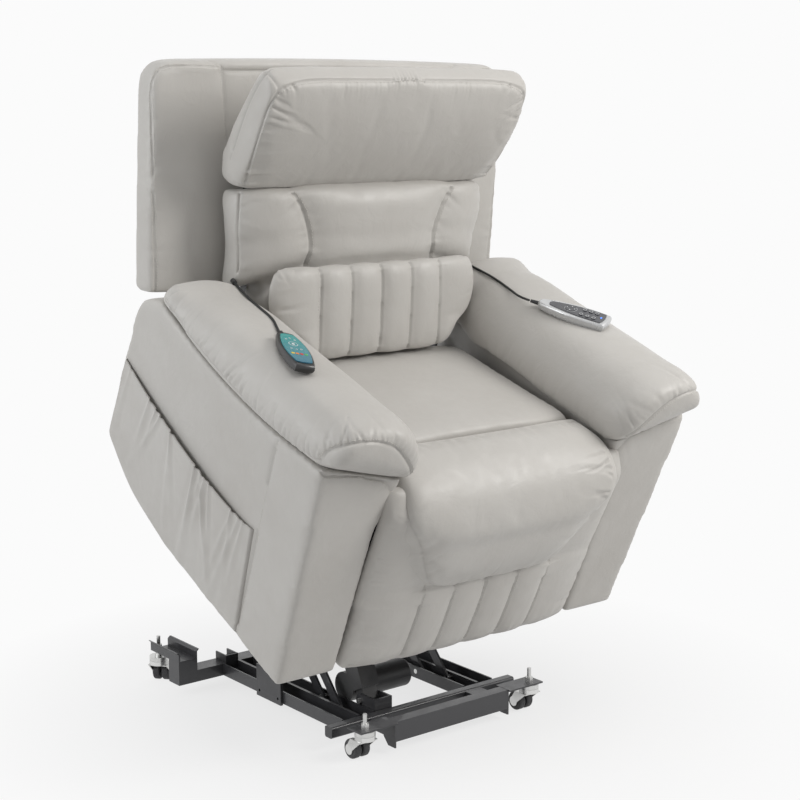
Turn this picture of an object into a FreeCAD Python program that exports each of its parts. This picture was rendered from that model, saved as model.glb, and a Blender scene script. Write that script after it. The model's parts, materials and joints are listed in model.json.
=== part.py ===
import FreeCAD, Part
import os
from math import asin, atan2, cos, degrees, hypot, pi, radians, sin, tan

V = FreeCAD.Vector
ORIGIN = V(0, 0, 0)
X_AXIS = V(1, 0, 0)
Y_AXIS = V(0, 1, 0)
Z_AXIS = V(0, 0, 1)

# All lengths are in millimetres and all angles in degrees.
# X runs across the chair, Y from its front to its back, Z up. The floor is Z = 0.

# Clearances
running_gap = 0.05      # radial, pin or rod in its hole
side_gap = 0.4          # between plates that turn side by side
soft_gap = 0.4          # between a soft piece and a piece of another body
lift_pivot_gap = 7.0    # radial, round the pin of each actuator's far eye
recline_pivot_gap = 4.0
legrest_pivot_gap = 9.0

# Place of the raised chair over its base
front_y = -210.8        # front face of the front caster bar
chair_reach = 5.0       # the chair's own front edge stands this far before the bar
chair_height = 190.0    # height of the chair's own front bottom edge, raised
lift_tilt = 26.0        # forward tilt of the raised chair
back_lean = 21.5        # the backrest leans this far behind the chair's own upright

# Base frame
sheet = 3.0
frame_floor = 23.0
tube_height = 25.0
bar_half = 140.0
bar_depth = 25.0
bar_height = 39.0
bar_to_tube = 56.0
tongue_width = 40.0
tube_half = 230.0
tube_depth = 22.0
tube_round = 4.0
tube_lift = 2.0         # its underside above the rails' underside
rail_length = 414.0
rail_outer = 190.0
rail_width = 40.0
channel_width = 37.0
crossbar_half = 297.0
crossbar_depth = 40.0
post_width = 44.0
post_height = 23.0
saddle_length = 112.0
saddle_wall = 17.0
saddle_lip = 5.0
upright_start = 196.0   # behind the cross tube
upright_length = 85.0
upright_height = 66.0
upright_hole = 3.0
stop_width = 30.0
stop_depth = 40.0
stop_height = 16.0

# Caster brackets, stems and casters
bracket_reach = 88.0
bracket_depth = 42.0
bracket_overhang = 7.0  # plate in front of the bar
bracket_foot = 11.0     # flange above the floor
stem_setback = 10.0     # stem axis behind the front face of the bar
stem_inset = 22.0       # stem axis in from the bracket's outer edge
stem_radius = 4.0
stem_head = 7.0
front_stem_top = 91.0
rear_stem_top = 102.0
rear_stem_x = 284.0
rear_stem_back = 102.0   # stem axis behind the front face of the crossbar
nut_width = 14.0
nut_height = 10.0
race_radius = 19.5
race_height = 8.8
race_gap = 0.3
wheel_radius = 19.0
wheel_width = 15.5
wheel_spacing = 4.0
wheel_round = 4.0
wheel_bore = 3.0
caster_trail = 24.0
rear_left_swivel = -50.0
fork_sheet = 2.0
fork_side_gap = 0.6
fork_disc = 10.0
fork_crown_gap = 1.5

# Lift links and the carriage that they carry
link_length = 285.0
link_angle = 48.0       # raised, above the floor
link_thick = 5.0
link_half = 10.0
link_pin = 5.0
link_foot_back = 82.0   # front pivot behind the cross tube
link_foot_height = 14.0  # pivots above the frame's underside
link_spacing = 70.0     # rear pivot behind the front pivot
carriage_plate = 4.0
carriage_half = 12.0
carriage_tube = 10.0
seat_pivot_y = 250.0    # carriage pivot in the chair's own frame
seat_pivot_z = 60.0

# Actuators
motor_radius = 28.0
motor_length = 90.0
motor_end_round = 6.0
motor_out = 40.6        # motor axis beside the screw's axis
motor_up = 35.4         # motor axis along the screw from the clevis pin
lift_x = -90.0
lift_pin = 5.0
lift_pin_rim = 0.7      # of the pin's head beyond its shank, clear of the rail
lift_pin_length = 52.0
lift_pin_back = 47.0    # clevis pin behind the cross tube
lift_pin_height = 31.0  # clevis pin above the frame's underside
clevis_half = 21.0
clevis_sheet = 4.0
clevis_eye = 13.0
clevis_height = 46.0
gear_block = 20.0
gear_start = 22.0
gear_length = 50.0
gear_disc = 30.0
gear_width = 61.0
actuator_tube = 16.0
actuator_rod = 9.0
actuator_eye = 7.0      # wall of an actuator's own eye
rod_eye = 5.0           # wall of the eye at a rod's end
tube_share = 0.62       # of the pin-to-pin length
rod_tail_share = 0.32   # where the rod starts inside its tube
recline_x = 60.0
legrest_x = 120.0

# Seat frame, in the chair's own frame
side_plate_inner = 243.0
side_plate_thick = 6.0
side_plate_front = 52.0
side_plate_back = 590.0
deck = 3.0
deck_front = 46.0
deck_rear_start = 150.0
arm_rail = 40.0
arm_rail_low = 110.0
side_plate_low = 82.0
side_plate_high = 280.0
seat_tube = 12.0
front_tube_y = 110.0
front_tube_z = 150.0
middle_tube_z = 105.0
rear_tube_y = 470.0
rear_tube_z = 115.0
hinge_eye = 17.0
seat_ear_thick = 5.0

# Arms, in the chair's own frame
arm_inner = 283.0
arm_bottom_outer = 415.0
arm_top_outer = 440.0
arm_inner_top = 256.0
arm_straight = 315.0
arm_flat = 430.0
arm_back_y = 671.0
arm_back_z = 75.0
arm_shoulder_y = 650.0
arm_shoulder_z = 386.0
arm_front_y = 24.0
arm_front_z = 449.0
arm_step_y = 612.0      # top edge behind the pad
arm_step_z = 430.0
arm_dip_y = 563.0
arm_dip_z = 452.0
arm_brow_back = 22.0    # brow under the pad's front end, behind the arm's front
arm_brow_z = 472.0
arm_lid = 500.0         # panels reach up to here inside the pad
arm_neck_z = 425.0      # the inner panel leans out up to here
arm_wall = 20.0
arm_roof = 100.0
pad_front_top = 555.0
pad_back_top = 492.0
pad_inner = 240.0
pad_outer = 446.0
pad_inner_low = 408.0
pad_outer_low = 470.0
pad_length = 590.0
pad_overhang = 6.0
pad_crown_inner = 300.0
pad_crown_outer = 404.0
pocket_wall = 3.0
pocket_slot = 6.0
pocket_hem = 12.0
pocket_front_y = 134.0
pocket_mouth_y = 160.0
pocket_middle_y = 400.0
pocket_dip_y = 335.0
pocket_rear_y = 640.0
pocket_back_y = 645.0
pocket_front_low = 60.0
pocket_middle_low = 48.0
pocket_rear_low = 112.0
pocket_front_high = 236.0
pocket_dip_high = 226.0
pocket_back_high = 276.0
pocket_slot_top = 300.0

# Seat cushion, front pad and footrest, in the chair's own frame
seat_half = 236.0
seat_front = 127.0
seat_back = 474.0
seat_high = 405.0
seat_slope = 0.17
seat_crown = 8.0
front_pad_half = 258.0
front_pad_top = 420.0
front_pad_rear = 40.0
apron_face = -28.0
apron_brow_z = 290.0
legrest_pivot_y = 90.0
legrest_pivot_z = 300.0
legrest_seam_z = 176.0
legrest_half = 277.0
legrest_seam_x = 155.0
legrest_back = 30.0
legrest_face = -20.0
board_thick = 12.0
board_high = 118.0
board_low = 14.0
swing_arm_inner = 262.0
swing_arm_thick = 4.0
swing_shaft = 8.0
swing_eye = 14.0
legrest_lever = 46.0
legrest_lever_angle = -45.0
legrest_pin = 5.0

# Backrest, in its own frame: n runs back through it, u runs up along it
back_pivot_y = 560.0
back_pivot_z = 330.0
back_pin = 6.0
back_frame_front = 402.0
back_frame_thick = 30.0
back_frame_top = 850.0
back_frame_half = 225.0
back_frame_bar = 20.0
back_lever = 80.0
back_lever_angle = -70.0
lever_half = 11.0
shell_half = 418.0
shell_low = 628.0
shell_high = 1056.0
shell_corner = 46.0
shell_thick = 61.0
shell_round = 9.0
back_low_half = 226.0
back_half = 300.0
back_low_seam_x = 150.0
back_seam_x = 180.0
back_low = 508.0
back_waist = 692.0
back_high = 830.0
back_face = 304.0
lumbar_half = 237.0
lumbar_low = 503.0
lumbar_high = 690.0
lumbar_face = 286.0
lumbar_back = 310.1
lumbar_seam_x = 146.0
channel_rise = 12.0
head_half = 308.0
head_pivot_n = 416.0
head_pivot_u = 862.0
head_rear = 395.0
head_rear_low = 846.0
head_rear_high = 900.0
head_low_n = 322.0
head_low_u = 840.0
head_brow_n = 222.0
head_brow_u = 1008.0
head_top_n = 262.0
head_top_u = 1050.0
head_shaft = 6.0
head_plate = 4.0

# Hand control and massage remote
case_length = 142.0
case_end = 46.0
case_tail = 20.0
case_bulge = 9.0
case_height = 17.0
case_x = 328.1
case_y = 289.6
case_z = 517.0
case_yaw = 26.6
case_roll = -8.7
case_pitch = -6.2
face_length = 110.0
face_end = 38.0
face_tail = 16.0
face_bulge = 5.0
face_depth = 1.5
face_shift = -7.0
pad_key_radius = 11.5
pad_key_place = 7.0
key_radius = 4.6
key_rise = 1.4
key_pitch_x = 21.0
key_pitch_y = 13.0
key_first = 19.0
key_gap = 0.1
key_travel = 0.8
key_depth = 3.0
remote_length = 130.0
remote_end = 34.0
remote_tail = 30.0
remote_bulge = 10.0
remote_height = 16.0
remote_x = -371.0
remote_y = 253.5
remote_z = 526.3
remote_yaw = -18.0
remote_roll = 6.1
remote_pitch = -6.2
face_share = 0.84       # of the remote's length and width taken by its face
cord_radius = 2.4
bend_share = 0.45        # of the shorter run beside a bend, taken by its arc
relief_length = 22.0
relief_radius = 4.6
grommet_length = 12.0
grommet_radius = 5.0
hand_control_route = [(285.0, 375.5, 509.5), (283.0, 400.0, 501.5), (291.0, 440.0, 495.5), (298.0, 497.0, 487.5),
                      (291.0, 543.0, 482.0), (288.0, 566.0, 478.6)]
massage_route = [(-343.0, 337.5, 518.5), (-333.0, 362.0, 514.0), (-314.0, 402.0, 506.0), (-313.0, 452.0, 500.5),
                 (-303.0, 505.0, 488.5), (-296.0, 545.0, 484.0), (-291.0, 566.0, 480.6)]

# Values that follow from those above
bar_back_y = front_y + bar_depth
tube_front_y = bar_back_y + bar_to_tube
tube_back_y = tube_front_y + tube_depth
crossbar_y = tube_back_y + rail_length
frame_top = frame_floor + tube_height
rail_inner = rail_outer - rail_width
channel_inner = rail_inner - channel_width
bar_top = frame_floor + bar_height
bracket_outer = bar_half + bracket_reach
stem_x = bracket_outer - stem_inset
stem_y = front_y + stem_setback
rear_stem_y = crossbar_y + rear_stem_back
saddle_floor = frame_top + post_height
fork_top = 2 * wheel_radius + fork_crown_gap + fork_sheet
race_low = fork_top + race_height
race_top = race_low + race_gap + race_height
foot_a = (tube_back_y + link_foot_back, frame_floor + link_foot_height)
foot_b = (foot_a[0] + link_spacing, foot_a[1])
link_run = (link_length * cos(radians(link_angle)), link_length * sin(radians(link_angle)))
head_a = (foot_a[0] + link_run[0], foot_a[1] + link_run[1])
head_b = (foot_b[0] + link_run[0], foot_b[1] + link_run[1])
chair_y = front_y - chair_reach
board_back = legrest_back + board_thick
deck_top = side_plate_high + deck
front_deck_low = legrest_pivot_z + hinge_eye - deck
back_frame_back = back_frame_front + back_frame_thick
seam_radius = hypot(legrest_pivot_y - legrest_face - 2.6, legrest_pivot_z - legrest_seam_z)


def box(x0, x1, y0, y1, z0, z1):
    return Part.makeBox(x1 - x0, y1 - y0, z1 - z0, V(x0, y0, z0))


def cyl_x(x0, x1, centre, radius):
    return Part.makeCylinder(radius, x1 - x0, V(x0, centre[0], centre[1]), X_AXIS)


def cyl_z(x, y, z0, z1, radius):
    return Part.makeCylinder(radius, z1 - z0, V(x, y, z0), Z_AXIS)


def joined(shapes):
    body = shapes[0]
    for shape in shapes[1:]:
        body = body.fuse(shape)
    return body.removeSplitter()


def mirrored(shape):
    return shape.mirror(ORIGIN, X_AXIS)


def pair(shape):
    return Part.makeCompound([shape, mirrored(shape)])


def largest(shape):
    return max(shape.Solids, key=lambda solid: solid.Volume)


def outline(points, rises, place):
    """Closed wire through points; each side is a line, or an arc that rises outward."""
    edges = []
    count = len(points)
    for i in range(count):
        a = points[i]
        b = points[(i + 1) % count]
        rise = rises[i]
        start = place(a[0], a[1])
        end = place(b[0], b[1])
        if rise == 0:
            edges.append(Part.LineSegment(start, end).toShape())
            continue
        length = hypot(b[0] - a[0], b[1] - a[1])
        mid_a = (a[0] + b[0]) / 2 + rise * (b[1] - a[1]) / length
        mid_b = (a[1] + b[1]) / 2 - rise * (b[0] - a[0]) / length
        edges.append(Part.Arc(start, place(mid_a, mid_b), end).toShape())
    return Part.Wire(edges)


def lofted(wires):
    return Part.makeLoft(wires, True, False)


def end_stations(start, end, start_round, end_round, middle):
    """Places along a soft piece, each with how far its section is drawn in, from 1 at an end to 0."""
    stations = []
    for step in range(4):
        angle = radians(30 * step)
        stations.append((start + start_round * (1 - cos(angle)), 1 - sin(angle)))
    inner_start = start + start_round
    inner_end = end - end_round
    for step in range(1, middle + 1):
        stations.append((inner_start + step * (inner_end - inner_start) / (middle + 1), 0))
    for step in range(3, -1, -1):
        angle = radians(30 * step)
        stations.append((end - end_round * (1 - cos(angle)), 1 - sin(angle)))
    return stations


def prism_x(points, rises, x0, x1):
    wire = outline(points, rises, lambda y, z: V(x0, y, z))
    return Part.Face(wire).extrude(V(x1 - x0, 0, 0))


def prism_y(points, rises, y0, y1):
    wire = outline(points, rises, lambda x, z: V(x, y0, z))
    return Part.Face(wire).extrude(V(0, y1 - y0, 0))


def bar_plate(p, q, half, x0, x1):
    """Flat bar with round ends between two points of the YZ plane."""
    length = hypot(q[0] - p[0], q[1] - p[1])
    across = (half * (q[1] - p[1]) / length, -half * (q[0] - p[0]) / length)
    points = [(p[0] + across[0], p[1] + across[1]), (q[0] + across[0], q[1] + across[1]),
              (q[0] - across[0], q[1] - across[1]), (p[0] - across[0], p[1] - across[1])]
    return prism_x(points, [0, half, 0, half], x0, x1)


def along(p, q, share):
    return (p[0] + share * (q[0] - p[0]), p[1] + share * (q[1] - p[1]))


def lever_tip(pivot, length, angle):
    return (pivot[0] + length * cos(radians(angle)), pivot[1] + length * sin(radians(angle)))


# Frames: chair pieces are drawn upright and lowered, then raised and tipped

def turned(point, angle):
    """Turns a point of the YZ plane about X by an angle, back edge up when positive."""
    c = cos(radians(angle))
    s = sin(radians(angle))
    return (point[0] * c - point[1] * s, point[0] * s + point[1] * c)


def chair_point(y, z):
    place = turned((y, z), lift_tilt)
    return (chair_y + place[0], chair_height + place[1])


def raised(shape):
    moved = shape.copy()
    moved.rotate(ORIGIN, X_AXIS, lift_tilt)
    moved.translate(V(0, chair_y, chair_height))
    return moved


def on_back(shape):
    moved = shape.copy()
    moved.rotate(ORIGIN, X_AXIS, -back_lean)
    return moved


def back_uv(y, z):
    return turned((y, z), back_lean)


# Base

def front_caster_bar():
    bar = box(-bar_half, bar_half, front_y, bar_back_y, frame_floor, bar_top)
    hollow = box(-bar_half, bar_half, front_y + sheet, bar_back_y, frame_floor + sheet, bar_top - sheet)
    bar = bar.cut(hollow)
    tongue = box(bar_half - tongue_width, bar_half, front_y + sheet, tube_front_y,
                 frame_floor + sheet, frame_top - sheet)
    return joined([bar, tongue, mirrored(tongue)])


def caster_brackets():
    plate = box(bar_half, bracket_outer, front_y - bracket_overhang, front_y - bracket_overhang + bracket_depth,
                race_top, race_top + sheet)
    flange_back = front_y + bracket_depth - bracket_overhang
    flange = prism_x([(front_y, bracket_foot), (front_y + bracket_depth / 2, bracket_foot),
                      (flange_back, frame_floor + sheet), (flange_back, race_top), (front_y, race_top)],
                     [0, 0, 0, 0, 0], bar_half, bar_half + sheet)
    hole = cyl_z(stem_x, stem_y, race_top - 1, race_top + sheet + 1, stem_radius)
    return pair(joined([plate, flange]).cut(hole))


def front_cross_tube():
    low = frame_floor + tube_lift
    high = frame_top - tube_lift / 2
    tube = box(-tube_half, tube_half, tube_front_y, tube_back_y, low, high)
    long_edges = [e for e in tube.Edges if abs(e.tangentAt(0).x) > 0.99]
    tube = tube.makeFillet(tube_round, long_edges)
    hollow = box(-tube_half + sheet, tube_half - sheet, tube_front_y + sheet, tube_back_y - sheet,
                 low + sheet, high - sheet)
    return tube.cut(hollow)


def open_channel(x0, x1):
    shape = box(x0, x1, tube_back_y, crossbar_y, frame_floor, frame_top)
    return shape.cut(box(x0 + sheet, x1 - sheet, tube_back_y, crossbar_y, frame_floor + sheet, frame_top + 1))


def side_rails():
    """Two open channels side by side on each side: the outer rail and the one that holds the links."""
    rail = open_channel(rail_inner, rail_outer)
    channel = open_channel(channel_inner, rail_inner)
    channel = channel.cut(cyl_x(plate_outer, rail_inner + 1, foot_a, link_pin))
    channel = channel.cut(cyl_x(channel_inner - 1, plate_inner, foot_b, link_pin))
    return Part.makeCompound([rail, mirrored(rail), channel, mirrored(channel)])


def pivot_pins():
    """Each link's pin stands in from one wall only, so the other pair of links folds past it."""
    pins = [cyl_x(plate_outer, rail_inner, foot_a, link_pin),
            cyl_x(channel_inner, plate_inner, foot_b, link_pin)]
    head = cyl_x(lift_x - lift_pin_length / 2, lift_x - clevis_half, lift_start, lift_pin + lift_pin_rim)
    shank = cyl_x(lift_x - clevis_half, lift_x + lift_pin_length / 2, lift_start, lift_pin)
    return Part.makeCompound(pins + [mirrored(pin) for pin in pins] + [joined([head, shank])])


def rear_crossbar():
    bar = box(-crossbar_half, crossbar_half, crossbar_y, crossbar_y + crossbar_depth,
              frame_floor, frame_top)
    post = box(crossbar_half - post_width, crossbar_half, crossbar_y, crossbar_y + crossbar_depth,
               frame_top, saddle_floor)
    stop = box(rail_inner + sheet, rail_inner + sheet + stop_width, crossbar_y, crossbar_y + stop_depth,
               frame_top, frame_top + stop_height)
    stop = stop.cut(box(rail_inner + 2 * sheet, rail_inner + stop_width, crossbar_y + sheet,
                        crossbar_y + stop_depth, frame_top + sheet, frame_top + stop_height))
    return joined([bar, post, mirrored(post), stop, mirrored(stop)])


def rear_saddles():
    x0 = crossbar_half - post_width
    x1 = crossbar_half
    top = saddle_floor + saddle_wall
    brim = top + saddle_lip
    points = [(x0, saddle_floor), (x1, saddle_floor), (x1, top), (x1 + saddle_lip, brim),
              (x1 + saddle_lip - sheet, brim), (x1 - sheet, top), (x1 - sheet, saddle_floor + sheet),
              (x0 + sheet, saddle_floor + sheet), (x0 + sheet, top), (x0 - saddle_lip + sheet, brim),
              (x0 - saddle_lip, brim), (x0, top)]
    saddle = prism_y(points, [0] * len(points), crossbar_y, crossbar_y + saddle_length)
    hole = cyl_z(rear_stem_x, rear_stem_y, saddle_floor - 1, saddle_floor + sheet + 1, stem_radius)
    return pair(saddle.cut(hole))


def rail_uprights():
    y0 = tube_back_y + upright_start
    low = frame_floor - sheet
    plate = box(rail_outer, rail_outer + 2 * sheet, y0, y0 + upright_length, low, low + upright_height)
    for share in (0.12, 0.88):
        centre = (y0 + share * upright_length, low + 4 * sheet)
        plate = plate.cut(cyl_x(rail_outer - 1, rail_outer + 2 * sheet + 1, centre, upright_hole))
    return pair(plate)


def hexagon(x, y, z0, height):
    corner = nut_width / 2 / cos(radians(30))
    points = [V(x + corner * cos(radians(60 * i)), y + corner * sin(radians(60 * i)), z0) for i in range(7)]
    return Part.Face(Part.makePolygon(points)).extrude(V(0, 0, height))


def caster_stem(x, y, plate_low, top):
    head = cyl_z(x, y, fork_top - 2 * fork_sheet - race_gap, fork_top - fork_sheet - race_gap, stem_head)
    stem = cyl_z(x, y, fork_top - fork_sheet - race_gap, top, stem_radius)
    race = cyl_z(x, y, race_low + race_gap, race_top, race_radius)
    nut = hexagon(x, y, plate_low + sheet, nut_height)
    shape = joined([head, stem, race, nut])
    if plate_low > race_top:
        shape = joined([shape, cyl_z(x, y, race_top, plate_low, nut_width / 2)])
    return shape


def caster_stems():
    front = caster_stem(stem_x, stem_y, race_top, front_stem_top)
    rear = caster_stem(rear_stem_x, rear_stem_y, saddle_floor, rear_stem_top)
    return Part.makeCompound([front, mirrored(front), rear, mirrored(rear)])


def swivelled(shape, x, y, swivel):
    """Sets a caster piece, drawn round the Z axis with its wheels behind it, under its stem."""
    moved = shape.copy()
    moved.rotate(ORIGIN, Z_AXIS, swivel)
    moved.translate(V(x, y, 0))
    return moved


def caster_fork(x, y, swivel):
    axle = (caster_trail, wheel_radius)
    inner = wheel_spacing / 2 + wheel_width + fork_side_gap
    outer = inner + fork_sheet
    crown_low = fork_top - fork_sheet
    crown_half = race_radius * 0.6
    cheek = prism_x([(-crown_half, fork_top), (axle[0] - fork_disc, axle[1]), (axle[0] + fork_disc, axle[1]),
                     (race_radius, fork_top)], [0, 0, 0, 0], inner, outer)
    side = joined([cheek, cyl_x(inner, outer, axle, fork_disc)])
    crown = box(-outer, outer, -crown_half, race_radius, crown_low, fork_top)
    race = cyl_z(0, 0, fork_top, race_low, race_radius)
    pin = cyl_x(-outer, outer, axle, wheel_bore)
    fork = joined([side, mirrored(side), crown, race, pin])
    fork = fork.cut(cyl_z(0, 0, crown_low - 1, race_low + 1, stem_radius + running_gap))
    return swivelled(fork, x, y, swivel)


def caster_wheels(x, y, swivel):
    axle = (caster_trail, wheel_radius)
    inner = wheel_spacing / 2
    wheel = cyl_x(inner, inner + wheel_width, axle, wheel_radius)
    rims = [e for e in wheel.Edges if len(e.Vertexes) == 1]
    wheel = wheel.makeFillet(wheel_round, rims)
    wheel = wheel.cut(cyl_x(inner - 1, inner + wheel_width + 1, axle, wheel_bore + running_gap))
    return swivelled(pair(wheel), x, y, swivel)


# Lift linkage

plate_inner = (channel_inner + rail_inner) / 2 - carriage_plate / 2
plate_outer = plate_inner + carriage_plate
front_link_x = plate_outer + side_gap
rear_link_x = plate_inner - side_gap - link_thick
ear_x = front_link_x + link_thick + side_gap
carriage_pivot = chair_point(seat_pivot_y, seat_pivot_z)


def link(foot, head, x0):
    shape = bar_plate(foot, head, link_half, x0, x0 + link_thick)
    for end in (foot, head):
        shape = shape.cut(cyl_x(x0 - 1, x0 + link_thick + 1, end, link_pin + running_gap))
    return pair(shape)


def lift_carriage():
    tail = bar_plate(head_b, head_a, carriage_half, plate_inner, plate_outer)
    nose = bar_plate(head_a, carriage_pivot, carriage_half, plate_inner, plate_outer)
    pin_a = cyl_x(plate_outer, front_link_x + link_thick, head_a, link_pin)
    pin_b = cyl_x(rear_link_x, plate_inner, head_b, link_pin)
    seat_pin = cyl_x(plate_outer, ear_x + seat_ear_thick, carriage_pivot, link_pin)
    half = joined([tail, nose, pin_a, pin_b, seat_pin])
    tube = cyl_x(-plate_inner, plate_inner, along(head_a, carriage_pivot, 0.3), carriage_tube)
    return joined([half, mirrored(half), tube])


# Actuators, each drawn along +Z from its first pin and then aimed at its second

lift_start = (tube_back_y + lift_pin_back, frame_floor + lift_pin_height)
lift_end = chair_point(rear_tube_y, rear_tube_z)
recline_start = (front_tube_y, front_tube_z)
recline_end = lever_tip((back_pivot_y, back_pivot_z), back_lever, back_lever_angle)
legrest_start = (rear_tube_y, rear_tube_z)
legrest_end = lever_tip((legrest_pivot_y, legrest_pivot_z), legrest_lever, legrest_lever_angle)


def distance(start, end):
    return hypot(end[0] - start[0], end[1] - start[1])


def aimed(shape, start, end, x):
    moved = shape.copy()
    angle = degrees(atan2(end[1] - start[1], end[0] - start[0]))
    moved.rotate(ORIGIN, X_AXIS, angle - 90)
    moved.translate(V(x, start[0], start[1]))
    return moved


def lift_clevis():
    """U bracket welded behind the cross tube, with an ear on each side of the actuator's nose."""
    y0 = tube_back_y
    top = frame_floor + clevis_height
    web = box(lift_x - clevis_half, lift_x + clevis_half, y0, y0 + clevis_sheet, frame_floor, top)
    ears = []
    for x0 in (lift_x - clevis_half, lift_x + clevis_half - clevis_sheet):
        ears.append(box(x0, x0 + clevis_sheet, y0, lift_start[0], frame_floor, top))
        ears.append(cyl_x(x0, x0 + clevis_sheet, lift_start, clevis_eye))
    shape = joined([web] + ears)
    return shape.cut(cyl_x(lift_x - clevis_half - 1, lift_x + clevis_half + 1, lift_start, lift_pin))


def actuator_body(start, end, pin):
    """Eye on the first pin and the outer tube."""
    length = distance(start, end)
    eye_radius = pin + actuator_eye
    tube = Part.makeCylinder(actuator_tube, tube_share * length - eye_radius, V(0, 0, eye_radius - sheet))
    bore = Part.makeCylinder(actuator_rod + running_gap, length, V(0, 0, eye_radius + sheet))
    eye = cyl_x(-actuator_tube, actuator_tube, (0, 0), eye_radius)
    shape = joined([eye, tube]).cut(bore)
    return shape.cut(cyl_x(-actuator_tube - 1, actuator_tube + 1, (0, 0), pin + running_gap))


def actuator_shaft(start, end, pin, gap):
    """Rod that slides in the tube, with a wide eye round the second pin."""
    length = distance(start, end)
    bore = pin + gap
    rod_start = rod_tail_share * length
    rod = Part.makeCylinder(actuator_rod, length - bore - rod_start, V(0, 0, rod_start))
    eye = cyl_x(-actuator_rod, actuator_rod, (0, length), bore + rod_eye)
    shape = joined([rod, eye])
    return shape.cut(cyl_x(-actuator_rod - 1, actuator_rod + 1, (0, length), bore))


def lift_tube():
    length = distance(lift_start, lift_end)
    low = gear_start + gear_length
    tube = Part.makeCylinder(actuator_tube, tube_share * length - low, V(0, 0, low))
    tube = tube.cut(Part.makeCylinder(actuator_rod + running_gap, length, V(0, 0, low - 1)))
    return aimed(tube, lift_start, lift_end, lift_x)


def lift_gearbox():
    """Nose between the clevis ears, block round the screw, and round gear case on the motor's axis."""
    inner = clevis_half - clevis_sheet - side_gap
    eye = cyl_x(-inner, inner, (0, 0), clevis_eye - side_gap)
    nose = box(-inner, inner, -clevis_eye + side_gap, clevis_eye - side_gap, 0, gear_start)
    block = box(-clevis_half, clevis_half, -gear_block, gear_block, gear_start, gear_start + gear_length)
    case = cyl_x(-clevis_half, gear_width - clevis_half, (motor_out, motor_up), gear_disc)
    shape = joined([eye, nose, block, case])
    shape = shape.cut(cyl_x(-inner - 1, inner + 1, (0, 0), lift_pin + running_gap))
    bore = Part.makeCylinder(actuator_rod + running_gap, gear_length, V(0, 0, gear_start + 2 * sheet))
    return aimed(shape.cut(bore), lift_start, lift_end, lift_x)


def lift_motor():
    low = gear_width - clevis_half
    motor = cyl_x(low, low + motor_length, (motor_out, motor_up), motor_radius)
    rim = [e for e in motor.Edges if len(e.Vertexes) == 1 and e.CenterOfMass.x > low + 1]
    return aimed(motor.makeFillet(motor_end_round, rim), lift_start, lift_end, lift_x)


def lift_rod():
    return aimed(actuator_shaft(lift_start, lift_end, seat_tube, lift_pivot_gap), lift_start, lift_end, lift_x)


# Seat frame and footrest

def seat_frame():
    x0 = side_plate_inner
    x1 = x0 + side_plate_thick
    plate = box(x0, x1, side_plate_front, side_plate_back, side_plate_low, side_plate_high)
    window = box(x0 - 1, x1 + 1, front_tube_y + 3 * seat_tube, rear_tube_y - 3 * seat_tube,
                 side_plate_low + 3 * seat_tube, side_plate_high - 3 * seat_tube)
    front_ear = bar_plate((legrest_pivot_y, side_plate_high - hinge_eye), (legrest_pivot_y, legrest_pivot_z),
                          hinge_eye, x0, x1)
    rear_ear = bar_plate((back_pivot_y, side_plate_high - hinge_eye), (back_pivot_y, back_pivot_z),
                         hinge_eye, x0, x1)
    rails = [box(x0, arm_inner, y, y + arm_rail, arm_rail_low, arm_rail_low + arm_rail)
             for y in (front_tube_y + arm_rail, rear_tube_y - arm_rail)]
    half = joined([plate.cut(window), front_ear, rear_ear] + rails)
    half = half.cut(cyl_x(x0 - 1, x1 + 1, (legrest_pivot_y, legrest_pivot_z), swing_shaft + running_gap))
    half = half.cut(cyl_x(x0 - 1, x1 + 1, (back_pivot_y, back_pivot_z), back_pin + running_gap))
    pivot = (seat_pivot_y, seat_pivot_z)
    middle = (seat_pivot_y, middle_tube_z)
    ear = bar_plate(pivot, middle, carriage_half, ear_x, ear_x + seat_ear_thick)
    tubes = [cyl_x(-x0, x0, centre, seat_tube) for centre in
             ((front_tube_y, front_tube_z), middle, (rear_tube_y, rear_tube_z))]
    decks = [box(-x1, x1, deck_front, seat_front, front_deck_low, front_deck_low + deck),
             box(-x1, x1, deck_rear_start, seat_back, side_plate_high, deck_top)]
    frame = joined([half, mirrored(half), ear, mirrored(ear)] + tubes + decks)
    return frame.cut(cyl_x(-ear_x - seat_ear_thick - 1, ear_x + seat_ear_thick + 1, pivot,
                           link_pin + running_gap))


def footrest_arms():
    """Cross shaft in the seat frame's ears, a swing arm at each end, and the actuator's lever."""
    pivot = (legrest_pivot_y, legrest_pivot_z)
    x0 = swing_arm_inner
    x1 = x0 + swing_arm_thick
    points = [(legrest_pivot_y - swing_eye, legrest_pivot_z), (legrest_back, board_high),
              (legrest_back, board_low), (board_back, board_low), (board_back + swing_eye, board_high),
              (legrest_pivot_y + swing_eye, legrest_pivot_z)]
    arm = prism_x(points, [0, 0, 0, 0, 0, swing_eye], x0, x1)
    shaft = cyl_x(-x1, x1, pivot, swing_shaft)
    lever_x = legrest_x - actuator_rod - side_gap
    lever = bar_plate(pivot, legrest_end, lever_half, lever_x - link_thick, lever_x)
    pin = cyl_x(lever_x, legrest_x + actuator_rod, legrest_end, legrest_pin)
    return joined([arm, mirrored(arm), shaft, lever, pin])


def footrest_board():
    return box(-swing_arm_inner, swing_arm_inner, legrest_back, board_back, board_low, board_high)


def channelled(half, seam_x, seam, side, back, rise, place):
    """Section of a pad with five sewn channel seams across its front and a flat back."""
    seams = [-seam_x, -seam_x / 2, 0, seam_x / 2, seam_x]
    points = [(-half, side)] + [(x, seam) for x in seams] + [(half, side), (half, back), (-half, back)]
    rises = [rise] * 6 + [rise / 4, 0, rise / 4]
    return outline(points, rises, place)


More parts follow.
